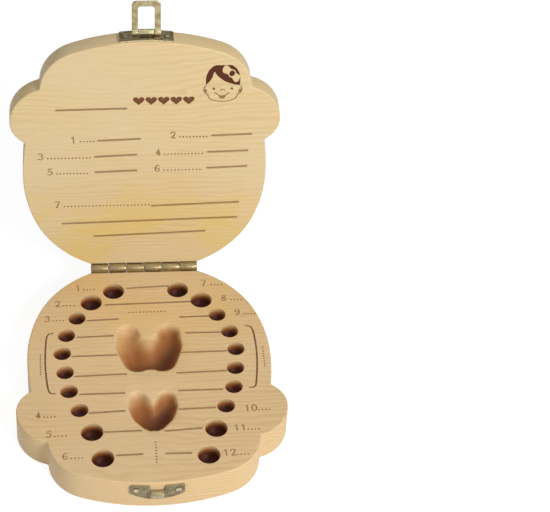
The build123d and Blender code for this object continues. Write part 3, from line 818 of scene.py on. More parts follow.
# %% One rolled knuckle
ROLL_OUTER, ROLL_INNER = 2.4, 1.2
ROLL_START, ROLL_SWEEP = 186, 302
LEAF_OUT = CROWN_Y - HINGE_Y
LEAF_IN = LEAF_OUT + HINGE_SHEET
LEAF_END = 3.2
out_arc = ring(0, 0, ROLL_OUTER, count=34, start=ROLL_START, sweep=ROLL_SWEEP)
in_arc = ring(0, 0, ROLL_INNER, count=26, start=ROLL_START, sweep=ROLL_SWEEP)[::-1]
lead_in = through(((LEAF_OUT, LEAF_END), (LEAF_OUT, LEAF_END * 0.45), tuple(out_arc[0])), gap=0.3)
lead_out = through((tuple(in_arc[-1]), (LEAF_IN, LEAF_END * 0.62), (LEAF_IN, LEAF_END)), gap=0.3)
KNUCKLE_END = anticlockwise(np.concatenate([lead_in[:-1], out_arc, in_arc[:-1], lead_out]))


def knuckle(side):
    """A knuckle round the X axis whose leaf goes up for side 1 and down for side -1."""
    rolled = board(KNUCKLE_END, -KNUCKLE_WIDTH / 2, KNUCKLE_WIDTH / 2, ROLL_RIM)
    turned_over = placed(rolled, lambda u, v, w: (w, u, side * v))
    return turned_over if side > 0 else flipped(turned_over)


print("knuckle end view points", len(KNUCKLE_END))

# %% [markdown]
# Knuckles, screws and nails repeat by a rule, so Geometry Nodes repeat them. The object holds one of the
# pieces, and the tree copies it along a line or along the chin's arc. Sizes are the tree's inputs. The
# copies are made real and the result becomes a plain mesh.

# %% Tree that repeats a piece in a row
def new_tree(name, inputs):
    """An empty Geometry Nodes tree with named inputs."""
    tree = bpy.data.node_groups.new(name, "GeometryNodeTree")
    tree.interface.new_socket("Geometry", in_out="INPUT", socket_type="NodeSocketGeometry")
    for label, kind in inputs:
        tree.interface.new_socket(label, in_out="INPUT", socket_type="NodeSocket" + kind)
    tree.interface.new_socket("Geometry", in_out="OUTPUT", socket_type="NodeSocketGeometry")
    return tree, tree.nodes.new("NodeGroupInput"), tree.nodes.new("NodeGroupOutput")


def finish_tree(tree, given, result, instances):
    """Makes the copies real and gives them their material."""
    real = tree.nodes.new("GeometryNodeRealizeInstances")
    dress = tree.nodes.new("GeometryNodeSetMaterial")
    tree.links.new(instances, real.inputs["Geometry"])
    tree.links.new(real.outputs["Geometry"], dress.inputs["Geometry"])
    tree.links.new(given.outputs["Material"], dress.inputs["Material"])
    tree.links.new(dress.outputs["Geometry"], result.inputs["Geometry"])


def row_tree():
    """Copies of a piece along a straight line."""
    tree, given, result = new_tree("in a row", (
        ("Count", "Int"), ("First", "Vector"), ("Step", "Vector"), ("Material", "Material")))
    line = tree.nodes.new("GeometryNodeMeshLine")
    copies = tree.nodes.new("GeometryNodeInstanceOnPoints")
    tree.links.new(given.outputs["Count"], line.inputs["Count"])
    tree.links.new(given.outputs["First"], line.inputs["Start Location"])
    tree.links.new(given.outputs["Step"], line.inputs["Offset"])
    tree.links.new(line.outputs["Mesh"], copies.inputs["Points"])
    tree.links.new(given.outputs["Geometry"], copies.inputs["Instance"])
    finish_tree(tree, given, result, copies.outputs["Instances"])
    return tree


# %% Tree that repeats a piece along the chin
def chin_tree():
    """Copies of a piece on an arc round a vertical axis, each square to the arc."""
    tree, given, result = new_tree("along the chin", (
        ("Count", "Int"), ("Radius", "Float"), ("Center Y", "Float"), ("Height", "Float"),
        ("Angle Step", "Float"), ("Material", "Material")))

    def math(operation, a, b):
        node = tree.nodes.new("ShaderNodeMath")
        node.operation = operation
        for socket, value in zip(node.inputs, (a, b)):
            if hasattr(value, "is_output"):
                tree.links.new(value, socket)
            elif value is not None:
                socket.default_value = value
        return node.outputs[0]

    points = tree.nodes.new("GeometryNodePoints")
    number_of = tree.nodes.new("GeometryNodeInputIndex")
    place = tree.nodes.new("ShaderNodeCombineXYZ")
    facing = tree.nodes.new("ShaderNodeCombineXYZ")
    copies = tree.nodes.new("GeometryNodeInstanceOnPoints")
    middle = math("DIVIDE", math("SUBTRACT", given.outputs["Count"], 1.0), 2.0)
    angle = math("MULTIPLY", math("SUBTRACT", number_of.outputs[0], middle), given.outputs["Angle Step"])
    across = math("MULTIPLY", math("SINE", angle, None), given.outputs["Radius"])
    forward = math("MULTIPLY", math("COSINE", angle, None), given.outputs["Radius"])
    tree.links.new(given.outputs["Count"], points.inputs["Count"])
    tree.links.new(across, place.inputs["X"])
    tree.links.new(math("SUBTRACT", given.outputs["Center Y"], forward), place.inputs["Y"])
    tree.links.new(given.outputs["Height"], place.inputs["Z"])
    tree.links.new(place.outputs[0], points.inputs["Position"])
    tree.links.new(angle, facing.inputs["Z"])
    tree.links.new(points.outputs[0], copies.inputs["Points"])
    tree.links.new(given.outputs["Geometry"], copies.inputs["Instance"])
    tree.links.new(facing.outputs[0], copies.inputs["Rotation"])
    finish_tree(tree, given, result, copies.outputs["Instances"])
    return tree


# %% Run a tree
IN_A_ROW, ALONG_THE_CHIN = row_tree(), chin_tree()
print("trees", IN_A_ROW.name, "and", ALONG_THE_CHIN.name)


def repeated(piece, tree, values, place=AS_DRAWN):
    """Runs a tree on a piece and leaves a plain mesh, turned to where the piece belongs."""
    modifier = piece.modifiers.new(tree.name, "NODES")
    modifier.node_group = tree
    sockets = {s.name: s.identifier for s in tree.interface.items_tree if s.in_out == "INPUT"}
    for label, value in values.items():
        modifier[sockets[label]] = value
    seen = piece.evaluated_get(bpy.context.evaluated_depsgraph_get())
    mesh = bpy.data.meshes.new_from_object(seen)
    turn = place.copy()
    turn.translation = turn.translation * MM
    mesh.transform(turn)
    piece.modifiers.clear()
    piece.data = mesh
    mesh.name = piece.name
    print(piece.name, "faces", len(mesh.polygons))
    return piece


# %% [markdown]
# The wood is a pale, soft plank. Its figure comes from inside the board: rings round a far-off heart line
# that lies along X, cut by the board's faces, so the flat faces show wavy lines and the ends show arcs.
# The pattern reads Object coordinates in millimetres. On the lid it is turned back to the shut box
# first, so both boards are cut along the same grain. The marks of the cuts come last: toasted hair,
# hollows darkened by scorch and by painted shade towards their floors, and charred lines.

# %% Small helpers for shader nodes
class Nodes:
    """Adds shader nodes to a material and links them by name."""

    def __init__(self, name, slot_color):
        self.material = bpy.data.materials.new(name)
        self.material.use_nodes = True
        self.material.diffuse_color = (*slot_color, 1)
        self.tree = self.material.node_tree
        self.shader = self.tree.nodes["Principled BSDF"]

    def fill(self, node, sockets):
        """Sets or links a node's inputs. i0, i1 and so on are inputs by number."""
        for key, value in sockets.items():
            by_number = key[0] == "i" and key[1:].isdigit()
            socket = node.inputs[int(key[1:]) if by_number else key.replace("_", " ")]
            if hasattr(value, "is_output"):
                self.tree.links.new(value, socket)
            else:
                socket.default_value = value

    def add(self, kind, out=0, options=(), **sockets):
        """A new node, given back as one of its outputs."""
        node = self.tree.nodes.new("ShaderNode" + kind)
        for key, value in dict(options).items():
            setattr(node, key, value)
        self.fill(node, sockets)
        return node.outputs[out]

    def shade(self, **sockets):
        """The inputs of the material's own shader."""
        self.fill(self.shader, sockets)

    def math(self, operation, a, b=0.0, clamp=False):
        """A sum or another operation on one or two numbers."""
        return self.add("Math", options={"operation": operation, "use_clamp": clamp}, i0=a, i1=b)

    def vector(self, operation, a, b=(0, 0, 0), out=0):
        """The same for vectors."""
        return self.add("VectorMath", out=out, options={"operation": operation}, i0=a, i1=b)

    def noise(self, where, scale, detail=2.0, rough=0.5):
        """Soft random blotches, about 1 / scale wide."""
        return self.add("TexNoise", Vector=where, Scale=scale, Detail=detail, Roughness=rough)

    def along_grain(self, where, share):
        """The same space, stretched along the grain."""
        return self.add("Mapping", Vector=where, Scale=(share, 1.0, 1.0))

    def spread(self, value, low, high, to_low=0.0, to_high=1.0):
        """A range stretched smoothly to another one."""
        return self.add("MapRange", options={"interpolation_type": "SMOOTHSTEP"}, Value=value,
                        From_Min=low, From_Max=high, To_Min=to_low, To_Max=to_high)

    def blend(self, share, a, b):
        """A mix of two colours."""
        a, b = [color if hasattr(color, "is_output") else (*color, 1) for color in (a, b)]
        return self.add("Mix", out=2, options={"data_type": "RGBA"}, i0=share, i6=a, i7=b)

    def mark(self, name):
        """What a cut left on the surface."""
        return self.add("Attribute", out=2, options={"attribute_name": name})


# %% Wood
MM_PER_M = 1000.0
CHAR = (0.20, 0.085, 0.028)
# Colours of the hollow mark: a scorched brown, then near-black. In the deep hollows both are partly painted
# shade, and in the stamp inside the lid they are burnt print.
SCORCH_AND_SHADE_BROWN, DEEP_BURN_AND_SHADE = (0.41, 0.16, 0.042), (0.085, 0.014, 0.002)
TOASTED = (0.55, 0.30, 0.11)
RING_RATE, WANDER = 0.52, 11.0


def in_the_plank(n, turn_back):
    """Object coordinates in millimetres, turned back to the shut box."""
    c, s = cos(radians(turn_back)), sin(radians(turn_back))
    shift = (0, HINGE_Y - (HINGE_Y * c - HINGE_Z * s), HINGE_Z - (HINGE_Y * s + HINGE_Z * c))
    return n.add("Mapping", Vector=n.add("TexCoord", out=3), Scale=(MM_PER_M,) * 3,
                 Rotation=(radians(turn_back), 0, 0), Location=shift)


def marked(n, color, toast, in_mm):
    """The wood's colour with what the cuts did to it, and painted shade in the deep hollows."""
    color = n.blend(n.mark("hair"), color, toast)
    # The hollow mark darkens with depth: scorch, and painted shade towards a hollow's floor. The stamp and
    # hearts inside the lid take the same colours as burnt print.
    depth = n.mark("hollow")
    color = n.blend(n.spread(depth, 0.0, 0.42), color, SCORCH_AND_SHADE_BROWN)
    color = n.blend(n.spread(depth, 0.20, 0.85), color, DEEP_BURN_AND_SHADE)
    uneven = n.spread(n.noise(in_mm, 0.9), 0.2, 0.55, 0.72, 1.0)
    return n.blend(n.math("MULTIPLY", n.mark("burn"), uneven), color, CHAR)


def wood(name, pale, tan, gold, turn_back, heart, gold_side):
    """A pale plank: pale and tan are its early and late wood, gold its warm blotches."""
    n = Nodes(name, pale)
    in_mm = in_the_plank(n, turn_back)
    wander = n.add("TexNoise", out=1, Vector=n.along_grain(in_mm, 0.30), Scale=0.055, Detail=3.0,
                   Roughness=0.55)
    wander = n.vector("MULTIPLY", n.vector("SUBTRACT", wander, (0.5, 0.5, 0.5)), (0, WANDER, WANDER))
    wavy = n.vector("ADD", in_mm, wander)
    from_heart = n.vector("MULTIPLY", n.vector("SUBTRACT", wavy, (0, *heart)), (0, 1, 1))
    rings = n.math("FRACT", n.math("MULTIPLY", n.vector("LENGTH", from_heart, out=1), RING_RATE))
    late = n.math("MULTIPLY", n.spread(rings, 0.35, 0.92), n.spread(rings, 1.0, 0.95))
    strength = n.spread(n.noise(n.along_grain(in_mm, 0.4), 0.035), 0.35, 0.66)
    late = n.math("MULTIPLY", late, n.math("ADD", n.math("MULTIPLY", strength, 0.75), 0.25))
    fibres = n.spread(n.noise(n.along_grain(wavy, 0.035), 1.5, 3.0, 0.6), 0.34, 0.70)
    flecks = n.spread(n.noise(n.along_grain(wavy, 0.16), 2.4), 0.66, 0.80)
    blotches = n.spread(n.noise(n.along_grain(in_mm, 0.55), 0.042, 3.0, 0.6), 0.40, 0.68)
    along = n.add("SeparateXYZ", out=1, Vector=in_mm)
    warm = n.math("MULTIPLY", blotches, n.spread(along, *gold_side, 0.25, 1.0))
    color = n.blend(n.math("MULTIPLY", late, 0.62), pale, tan)
    color = n.blend(n.math("MULTIPLY", fibres, 0.22), color, tan)
    color = n.blend(n.math("MULTIPLY", flecks, 0.30), color, [v * 0.62 for v in tan])
    color = n.blend(n.math("MULTIPLY", warm, 0.75), color, gold)
    toast = n.blend(n.math("ADD", n.math("MULTIPLY", late, 0.45), n.math("MULTIPLY", fibres, 0.35)),
                    [v * 1.12 for v in TOASTED], [v * 0.66 for v in TOASTED])
    grain = n.math("ADD", n.math("MULTIPLY", late, 0.5), n.math("MULTIPLY", fibres, 0.5))
    height = n.math("SUBTRACT", grain, n.math("MULTIPLY", flecks, 0.8))
    n.shade(Base_Color=marked(n, color, toast, in_mm), Specular_IOR_Level=0.35,
            Roughness=n.math("ADD", n.math("MULTIPLY", fibres, 0.10), 0.50),
            Normal=n.add("Bump", Height=height, Strength=0.22, Distance=0.00012))
    return n.material


BASE_WOOD = wood("base wood", (0.74, 0.54, 0.30), (0.61, 0.41, 0.205), (0.72, 0.475, 0.19), 0.0,
                 (-130.0, -110.0), (-20.0, 60.0))
LID_WOOD = wood("lid wood", (0.73, 0.57, 0.335), (0.63, 0.455, 0.235), (0.74, 0.525, 0.16), OPEN_ANGLE,
                (-120.0, 140.0), (8.0, 44.0))
print("woods", BASE_WOOD.name, LID_WOOD.name)

# %% [markdown]
# The hardware is stamped from sheet and given an antique finish: it is dipped dark, then tumbled, so the
# high edges wear through to bright metal. The mark called edge says where a corner was rubbed, and burn
# says where dark wax stayed behind; burn also darkens the whole catch and its hook, and on the sheet
# behind the clasp's slot it is painted shade.

# %% Metals
# Colour and strength of the burn darkening: dark wax, and painted shade behind the clasp's slot.
WAX_AND_SHADE_COLOR = (0.045, 0.026, 0.011)
RUBBED, WAX_AND_SHADE_SHARE = 0.6, 0.9


def metal(name, dark, bright, rough, patina_size):
    """A tumbled antique finish."""
    n = Nodes(name, bright)
    in_mm = n.add("Mapping", Vector=n.add("TexCoord", out=3), Scale=(MM_PER_M,) * 3)
    cloud = n.spread(n.noise(in_mm, patina_size, 3.0, 0.55), 0.36, 0.66)
    grit = n.spread(n.noise(in_mm, patina_size * 4), 0.30, 0.75)
    rubbed = n.math("ADD", n.math("MULTIPLY", grit, 0.5), RUBBED)
    rubbed = n.math("MULTIPLY", n.mark("edge"), rubbed, True)
    field = n.math("MULTIPLY", cloud, n.math("ADD", n.math("MULTIPLY", grit, 0.22), 0.34))
    share = n.math("MAXIMUM", rubbed, n.math("ADD", field, 0.22))
    # The burn mark darkens the metal: dark wax in grooves and dishes, the whole catch and hook, and painted
    # shade on the sheet behind the slot.
    wax_and_shade = n.math("MULTIPLY", n.mark("burn"), WAX_AND_SHADE_SHARE, True)
    uneven = n.math("ADD", n.math("MULTIPLY", cloud, 0.7), n.math("MULTIPLY", grit, 0.3))
    n.shade(Base_Color=n.blend(wax_and_shade, n.blend(share, dark, bright), WAX_AND_SHADE_COLOR),
            Metallic=n.math("SUBTRACT", 1.0, wax_and_shade),
            Roughness=n.math("SUBTRACT", rough + 0.16, n.math("MULTIPLY", share, 0.22)),
            Normal=n.add("Bump", Height=uneven, Strength=0.35, Distance=0.00008))
    return n.material


BRONZE = metal("antique bronze", (0.24, 0.185, 0.085), (0.78, 0.68, 0.41), 0.38, 0.40)
BRASS = metal("hinge brass", (0.12, 0.085, 0.038), (0.50, 0.40, 0.21), 0.44, 0.30)
STEEL = metal("pin steel", (0.24, 0.21, 0.17), (0.62, 0.58, 0.50), 0.30, 0.8)
NAIL_BRONZE = metal("nail bronze", (0.20, 0.145, 0.07), (0.86, 0.75, 0.50), 0.32, 0.8)
base_wood_piece.data.materials.append(BASE_WOOD)
lid_wood_piece.data.materials.append(LID_WOOD)
print("metals", [m.name for m in (BRONZE, BRASS, STEEL, NAIL_BRONZE)])

# %% Turned pieces
def turned_piece(profile, segments=28):
    """A closed solid turned on the Z axis from radius and height pairs, top first."""
    corners = [(0, 0, profile[0][1])]
    for radius, height in profile:
        corners += [(x, y, height) for x, y in ring(0, 0, radius, count=segments)]
    corners.append((0, 0, profile[-1][1]))
    last = len(corners) - 1
    faces = []
    for k in range(segments):
        m = (k + 1) % segments
        faces.append((0, 1 + k, 1 + m))
        for row in range(len(profile) - 1):
            a, b = 1 + row * segments, 1 + (row + 1) * segments
            faces.append((a + k, b + k, b + m, a + m))
        end = 1 + (len(profile) - 1) * segments
        faces.append((end + k, last, end + m))
    return np.array(corners, float), faces, {}


def pin(radius, half, y, z, round_end=0.25):
    """A pin along X through (y, z), with rounded ends."""
    rounding = [(radius - round_end + round_end * sin(a), half - round_end + round_end * cos(a))
                for a in np.radians((0, 30, 60, 90))]
    flat_end = radius * 0.35
    profile = [(flat_end, half)] + rounding + [(radius, 0.0)]
    profile += [(r, -h) for r, h in rounding[::-1]] + [(flat_end, -half)]
    return placed(turned_piece(profile), lambda u, v, w: (w, u + y, v + z))


# %% Hinge leaves
SCREWS = 4
SEAT_FLOOR, SEAT_RIM, SEAT_DEPTH, SEAT_BURN = 1.75, 2.15, 0.22, 0.7
PIN_RADIUS = 1.1


def leaf(side):
    """The flat leaf above or below the pin, on the wood's rear flat."""
    low, high = sorted((side * LEAF_FOOT, side * LEAF_HEIGHT))
    outline = anticlockwise(box_line(-HINGE_WIDTH / 2, low, HINGE_WIDTH / 2, high, LEAF_CORNER))
    seats = []
    for k in range(SCREWS):
        x, y = (k - (SCREWS - 1) / 2) * SCREW_PITCH, side * SCREW_ROW
        seats.append(dish(x, y, SEAT_FLOOR, SEAT_RIM, 28, SEAT_DEPTH, SEAT_BURN, [(x, y)]))
    flat = board(outline, 0.0, HINGE_SHEET, METAL_RIM, top=seats)
    return flipped(placed(flat, lambda u, v, w: (u, CROWN_Y + w, HINGE_Z + v)))


for body, side, place in (("base", -1, AS_DRAWN), ("lid", 1, LIFT_LID)):
    flat_leaf = shape(body + "_hinge_leaf_dressed", [leaf(side)], place)
    flat_leaf.data.materials.append(BRASS)
    knuckles = shape(body + "_hinge_knuckles", [knuckle(side)], sharp=38)
    first = (max(side, 0) - (KNUCKLES - 1) / 2) * KNUCKLE_PITCH
    repeated(knuckles, IN_A_ROW, {
        "Count": KNUCKLES // 2, "First": (first * MM, HINGE_Y * MM, HINGE_Z * MM),
        "Step": (2 * KNUCKLE_PITCH * MM, 0, 0), "Material": BRASS}, place)
    for piece in (flat_leaf, knuckles):
        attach(piece, body)
        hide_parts(body + "_hinge_leaf")
hinge_pin_piece = shape("hinge_pin_turned", [pin(PIN_RADIUS, HINGE_WIDTH / 2, HINGE_Y, HINGE_Z)])
hinge_pin_piece.data.materials.append(STEEL)

# %% [markdown]
# A hinge screw has a low domed head with a cross in it, sunk in a dished seat. The cross and the dome are
# cuts on the same kind of flat drawing as the boards, and the shank is turned on a lathe.

# %% Heads and shanks
SLOT_WIDTH, SLOT_DEPTH = 0.42, 0.3


def dome(radius, drop):
    """A round head that falls away towards its rim."""
    curve = (radius ** 2 + drop ** 2) / (2 * drop)
    loops = [ring(0, 0, radius * share, count=int(16 + 16 * share)) for share in (0.35, 0.6, 0.8)]

    def level(points):
        return curve - np.sqrt(np.maximum(curve ** 2 - (points ** 2).sum(1), 0))

    return {"loops": loops, "points": [(0, 0)], "depth": level}


def screw_head(radius, height, slots):
    """A domed head with slots, seen from above."""
    round_top = dome(radius, height * 0.5)
    fall = round_top["depth"]
    cuts = [round_top]
    for line in slots:
        slot = groove(line, SLOT_WIDTH, SLOT_DEPTH, burn=0.9)
        slot["depth"] = lambda p, own=slot["depth"]: np.where(own(p) > 0, own(p) + fall(p) * 0.6, 0)
        cuts.append(slot)
    return board(ring(0, 0, radius, count=36), 0.0, height, height * 0.22, top=cuts)


def fastener(radius, height, shank, length, slots=(), to_front=False):
    """Head and shank with the seat at the origin, the head to the back or to the front."""
    taper = [(shank * 0.1, 0.02), (shank, 0.0), (shank, -length * 0.72), (shank * 0.15, -length)]
    parts = [screw_head(radius, height, slots), turned_piece(taper, 16)]
    if to_front:
        return [placed(part, lambda x, y, z: (x, -z, y)) for part in parts]
    return [flipped(placed(part, lambda x, y, z: (x, z, y))) for part in parts]


print("cross slots", SLOT_WIDTH, "wide and", SLOT_DEPTH, "deep")

# %% Hinge screws
HINGE_SCREW = {"radius": 1.6, "height": 0.7, "shank": 0.8, "length": 7.0}
CROSS_REACH = 0.95
CROSS = [np.linspace((-dx, -dy), (dx, dy), 5) for dx, dy in ((CROSS_REACH, 0), (0, CROSS_REACH))]
for body, side, place in (("base", -1, AS_DRAWN), ("lid", 1, LIFT_LID)):
    screws = shape(body + "_hinge_screws", fastener(**HINGE_SCREW, slots=CROSS))
    first = (-(SCREWS - 1) / 2 * SCREW_PITCH, CROWN_Y + HINGE_SHEET, HINGE_Z + side * SCREW_ROW)
    repeated(screws, IN_A_ROW, {"Count": SCREWS, "First": [v * MM for v in first],
                                "Step": (SCREW_PITCH * MM, 0, 0), "Material": BRASS}, place)
    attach(screws, body)
    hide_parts(*[body + "_hinge_screw_" + str(k) for k in (1, 2, 3, 4)])

# %% [markdown]
# The clasp has a plate nailed to the lid's chin, a loop that swings on it and a catch on the base. The
# plates are drawn flat and bent to the chin's curve: distance along the drawing becomes an angle.

# %% Bend a plate to the chin
CLASP_SHEET = 0.8
HALF_PLATE = 12.0
NAIL_SPREAD = 18.4
BEND_PITCH, BEND_REACH = 1.2, 11.4
BEND_LINES = [[(x, -2.0), (x, 30.0)] for x in np.arange(-BEND_REACH, BEND_REACH + 0.1, BEND_PITCH)]
NAIL_DISH = {"floor": 1.5, "rim": 2.0, "count": 24, "depth": 0.16, "burn": 0.5}
STEP = 1.0


def stepped(loop):
    """The same loop with points along its long sides."""
    out = []
    for (x0, y0), (x1, y1) in zip(loop, list(loop[1:]) + [loop[0]]):
        count = max(1, ceil(hypot(x1 - x0, y1 - y0) / STEP))
        out += [(x0 + (x1 - x0) * k / count, y0 + (y1 - y0) * k / count) for k in range(count)]
    return out


def on_the_chin(part):
    """A flat plate bent round the chin."""
    def bend(u, v, w):
        reach, angle = CHIN_RADIUS + w, u / CHIN_RADIUS
        return reach * sin(angle), CHIN_CENTER - reach * cos(angle), v

    return placed(part, bend)


def nail_dishes(z):
    """Shallow dishes pressed round the two nails of a plate, dark with old finish."""
    return [dish(side * NAIL_SPREAD / 2, z, **NAIL_DISH) for side in (-1, 1)]


print("bend lines", len(BEND_LINES))

# %% Latch plate
PLATE_LOW, PLATE_HIGH = 16.8, 24.6
LATCH_NAIL_Z = 20.7
SLOT_HEIGHT = 2.6
CENTER_KNUCKLE = 3.4
BORDER_INSET, BORDER_WIDTH, BORDER_DEPTH = 1.0, 0.6, 0.14
TONGUE_OUTER, TONGUE_INNER, TONGUE_TAIL = 1.4, 0.68, -1.9
# Thickness of the darkened sheet that paints shade behind the slot.
PAINTED_SHADE_SHEET = 0.15
PLATE_CORNER, SLOT_CORNER, BORDER_CORNER = 0.9, 0.3, 0.6
plate_line = stepped(box_line(-HALF_PLATE, PLATE_LOW, HALF_PLATE, PLATE_HIGH, PLATE_CORNER))
slot_line = stepped(box_line(-CENTER_KNUCKLE, CLASP_Z - SLOT_HEIGHT, CENTER_KNUCKLE, CLASP_Z, SLOT_CORNER))
border_line = box_line(BORDER_INSET - HALF_PLATE, PLATE_LOW + BORDER_INSET, HALF_PLATE - BORDER_INSET,
                       PLATE_HIGH - BORDER_INSET, BORDER_CORNER)
pressed = nail_dishes(LATCH_NAIL_Z) + [groove(border_line, BORDER_WIDTH, BORDER_DEPTH, True, 0.8)]
plate = board(plate_line, 0.0, CLASP_SHEET, METAL_RIM, top=pressed, windows=[slot_line], guides=BEND_LINES)
roll_out = ring(0, 0, TONGUE_OUTER, count=26, start=90, sweep=-278)
roll_in = ring(0, 0, TONGUE_INNER, count=18, start=90, sweep=-278)[::-1]
rolled_tongue = anticlockwise(np.concatenate([[(TONGUE_TAIL, TONGUE_OUTER)], roll_out, roll_in,
                                              [(TONGUE_TAIL, TONGUE_INNER)]]))


def on_the_pin(part):
    """An end view pulled sideways round the clasp's pin."""
    return flipped(placed(part, lambda u, v, w: (w, CLASP_Y - u, CLASP_Z + v)))


middle_knuckle = on_the_pin(board(rolled_tongue, -CENTER_KNUCKLE, CENTER_KNUCKLE, ROLL_RIM))
# A thin sheet behind the clasp's slot, fully darkened by the burn mark: painted shade, standing in for the
# wood in shadow that the slot would show.
painted_shade_sheet = board(slot_line, 0.0, PAINTED_SHADE_SHEET, guides=BEND_LINES)
painted_shade_sheet[2]["burn"] += 1.0
latch_plate_piece = shape("latch_plate_pressed", [on_the_chin(plate), middle_knuckle, on_the_chin(painted_shade_sheet)],
                          LIFT_LID, sharp=35)

# %% Latch loop and its pin
HALF_LOOP, LOOP_LEG, LOOP_LENGTH, LOOP_BAR = 6.4, 2.8, 14.8, 2.6
LOOP_CORNER, WINDOW_CORNER = 2.2, 1.2
LEG_STOPS = (0.0, -4.0, -8.0)
HALF_THICK, LOOP_RIM = 0.5, 0.34
EYE_OUTER, EYE_INNER, EYE_RIM = 1.4, 0.7, 0.16
LATCH_PIN = {"radius": 0.65, "half": HALF_LOOP, "round_end": 0.18}
inner = HALF_LOOP - LOOP_LEG
x_out, y_out = HALF_LOOP - LOOP_CORNER, LOOP_CORNER - LOOP_LENGTH
x_in, y_in = inner - WINDOW_CORNER, LOOP_BAR + WINDOW_CORNER - LOOP_LENGTH
loop_line = np.concatenate([
    [(-HALF_LOOP, y) for y in LEG_STOPS],
    ring(-x_out, y_out, LOOP_CORNER, count=7, start=180, sweep=90),
    ring(x_out, y_out, LOOP_CORNER, count=7, start=270, sweep=90),
    [(HALF_LOOP, y) for y in LEG_STOPS[::-1]],
    [(inner, y) for y in LEG_STOPS],
    ring(x_in, y_in, WINDOW_CORNER, count=5, start=0, sweep=-90),
    ring(-x_in, y_in, WINDOW_CORNER, count=5, start=270, sweep=-90),
    [(-inner, y) for y in LEG_STOPS[::-1]]])
loop_frame = board(anticlockwise(loop_line), -HALF_THICK, HALF_THICK, LOOP_RIM)
loop_parts = [placed(loop_frame, lambda u, v, w: (u, CLASP_Y - w, CLASP_Z + v))]
for side in (-1, 1):
    low, high = sorted((side * inner, side * HALF_LOOP))
    bore = ring(0, 0, EYE_INNER, count=20)
    eye = board(ring(0, 0, EYE_OUTER, count=32), low, high, EYE_RIM, windows=[bore])
    loop_parts.append(on_the_pin(eye))
latch_loop_piece = shape("latch_loop_cast", loop_parts, LIFT_LOOP, sharp=35)
latch_pin_piece = shape("latch_pin_turned", [pin(**LATCH_PIN, y=CLASP_Y, z=CLASP_Z)], LIFT_LID)

# %% Catch plate with its hook
CATCH_TOP = 14.6
CATCH_NAIL_Z = 11.8
HALF_HOOK, HALF_HOOK_SHEET, HOOK_RIM = 2.9, 0.4, 0.14
HOOK_DROP = 3.0
# How much the catch plate and its hook are darkened all over.
CATCH_DARKENING, HOOK_DARKENING = 0.6, 0.45
CATCH_BORDER_WIDTH, CATCH_BORDER_DEPTH = 0.5, 0.12
BORDER_SIDE = ((4.4, -1.0), (10.9, -1.0), (11.0, -4.9), (7.6, -6.2), (3.6, -7.2))


def arc_through(a, b, c, count):
    """Points of the arc through three points."""
    (ax, ay), (bx, by), (cx, cy) = a, b, c
    d = 2 * (ax * (by - cy) + bx * (cy - ay) + cx * (ay - by))
    aa, bb, cc = ax * ax + ay * ay, bx * bx + by * by, cx * cx + cy * cy
    x = (aa * (by - cy) + bb * (cy - ay) + cc * (ay - by)) / d
    y = (aa * (cx - bx) + bb * (ax - cx) + cc * (bx - ax)) / d
    start, end = atan2(ay - y, ax - x), atan2(cy - y, cx - x)
    sweep = (end - start + pi) % (2 * pi) - pi
    r = hypot(ax - x, ay - y)
    turns = [start + sweep * k / count for k in range(count + 1)]
    return [(x + r * cos(a), y + r * sin(a)) for a in turns]


right_wing = arc_through((0.0, -8.9), (7.8, -7.25), (11.4, -5.75), 12)
right_wing += [(11.9, -5.3), (12.0, -4.8), (12.0, -0.8), (11.77, -0.23), (11.2, 0.0)]
right_wing += [(3.6, 0.0), (2.9, -3.0)]
catch_line = right_wing + [(-x, y) for x, y in right_wing[::-1]][:-1]
catch_line = stepped([(x, y + CATCH_TOP) for x, y in catch_line])
pressed = nail_dishes(CATCH_NAIL_Z)
for side in (-1, 1):
    border_line = anticlockwise([(side * x, y + CATCH_TOP) for x, y in BORDER_SIDE])
    pressed.append(groove(stepped(border_line), CATCH_BORDER_WIDTH, CATCH_BORDER_DEPTH, True, 0.6))
catch = on_the_chin(board(catch_line, 0.0, CLASP_SHEET, METAL_RIM, top=pressed, guides=BEND_LINES))
# The whole catch plate is darkened through its burn mark.
catch[2]["burn"] = np.maximum(catch[2]["burn"], CATCH_DARKENING)
hook_bend = ring(1.9, -1.3, 0.9, count=7, start=90, sweep=-90)
hook_middle = np.concatenate([[(0.2, -0.4), (1.0, -0.4)], hook_bend, [(2.8, -2.0), (2.8, -2.5)]])
hook_line = np.concatenate([shifted(hook_middle, HALF_HOOK_SHEET, False),
                            shifted(hook_middle, -HALF_HOOK_SHEET, False)[::-1]])
hook = board(anticlockwise(hook_line), -HALF_HOOK, HALF_HOOK, HOOK_RIM)
hook = flipped(placed(hook, lambda u, v, w: (w, CHIN[1] - u, CATCH_TOP - HOOK_DROP + v)))
# The hook is darkened all over as well.
hook[2]["burn"] += HOOK_DARKENING
catch_plate_piece = shape("catch_plate_pressed", [catch, hook], sharp=35)
for piece in (latch_plate_piece, latch_loop_piece, catch_plate_piece, latch_pin_piece):
    piece.data.materials.append(BRONZE)

# %% Clasp nails
CLASP_NAIL = {"radius": 1.25, "height": 0.5, "shank": 0.5, "length": 6.0}
for body, node, height, place in (("lid", "latch_nail", LATCH_NAIL_Z, LIFT_LID),
                                  ("base", "catch_nail", CATCH_NAIL_Z, AS_DRAWN)):
    nails = shape(node + "s", fastener(**CLASP_NAIL, to_front=True))
    repeated(nails, ALONG_THE_CHIN, {
        "Count": 2, "Radius": (CHIN_RADIUS + CLASP_SHEET) * MM, "Center Y": CHIN_CENTER * MM,
        "Height": height * MM, "Angle Step": NAIL_SPREAD / CHIN_RADIUS, "Material": NAIL_BRONZE}, place)
    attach(nails, body)
    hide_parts(node + "_left", node + "_right")

# %% [markdown]
# Every piece rides on the body that carries it, so it follows when the lid or the loop swings, and it
# hides the plain solid that it stands for.

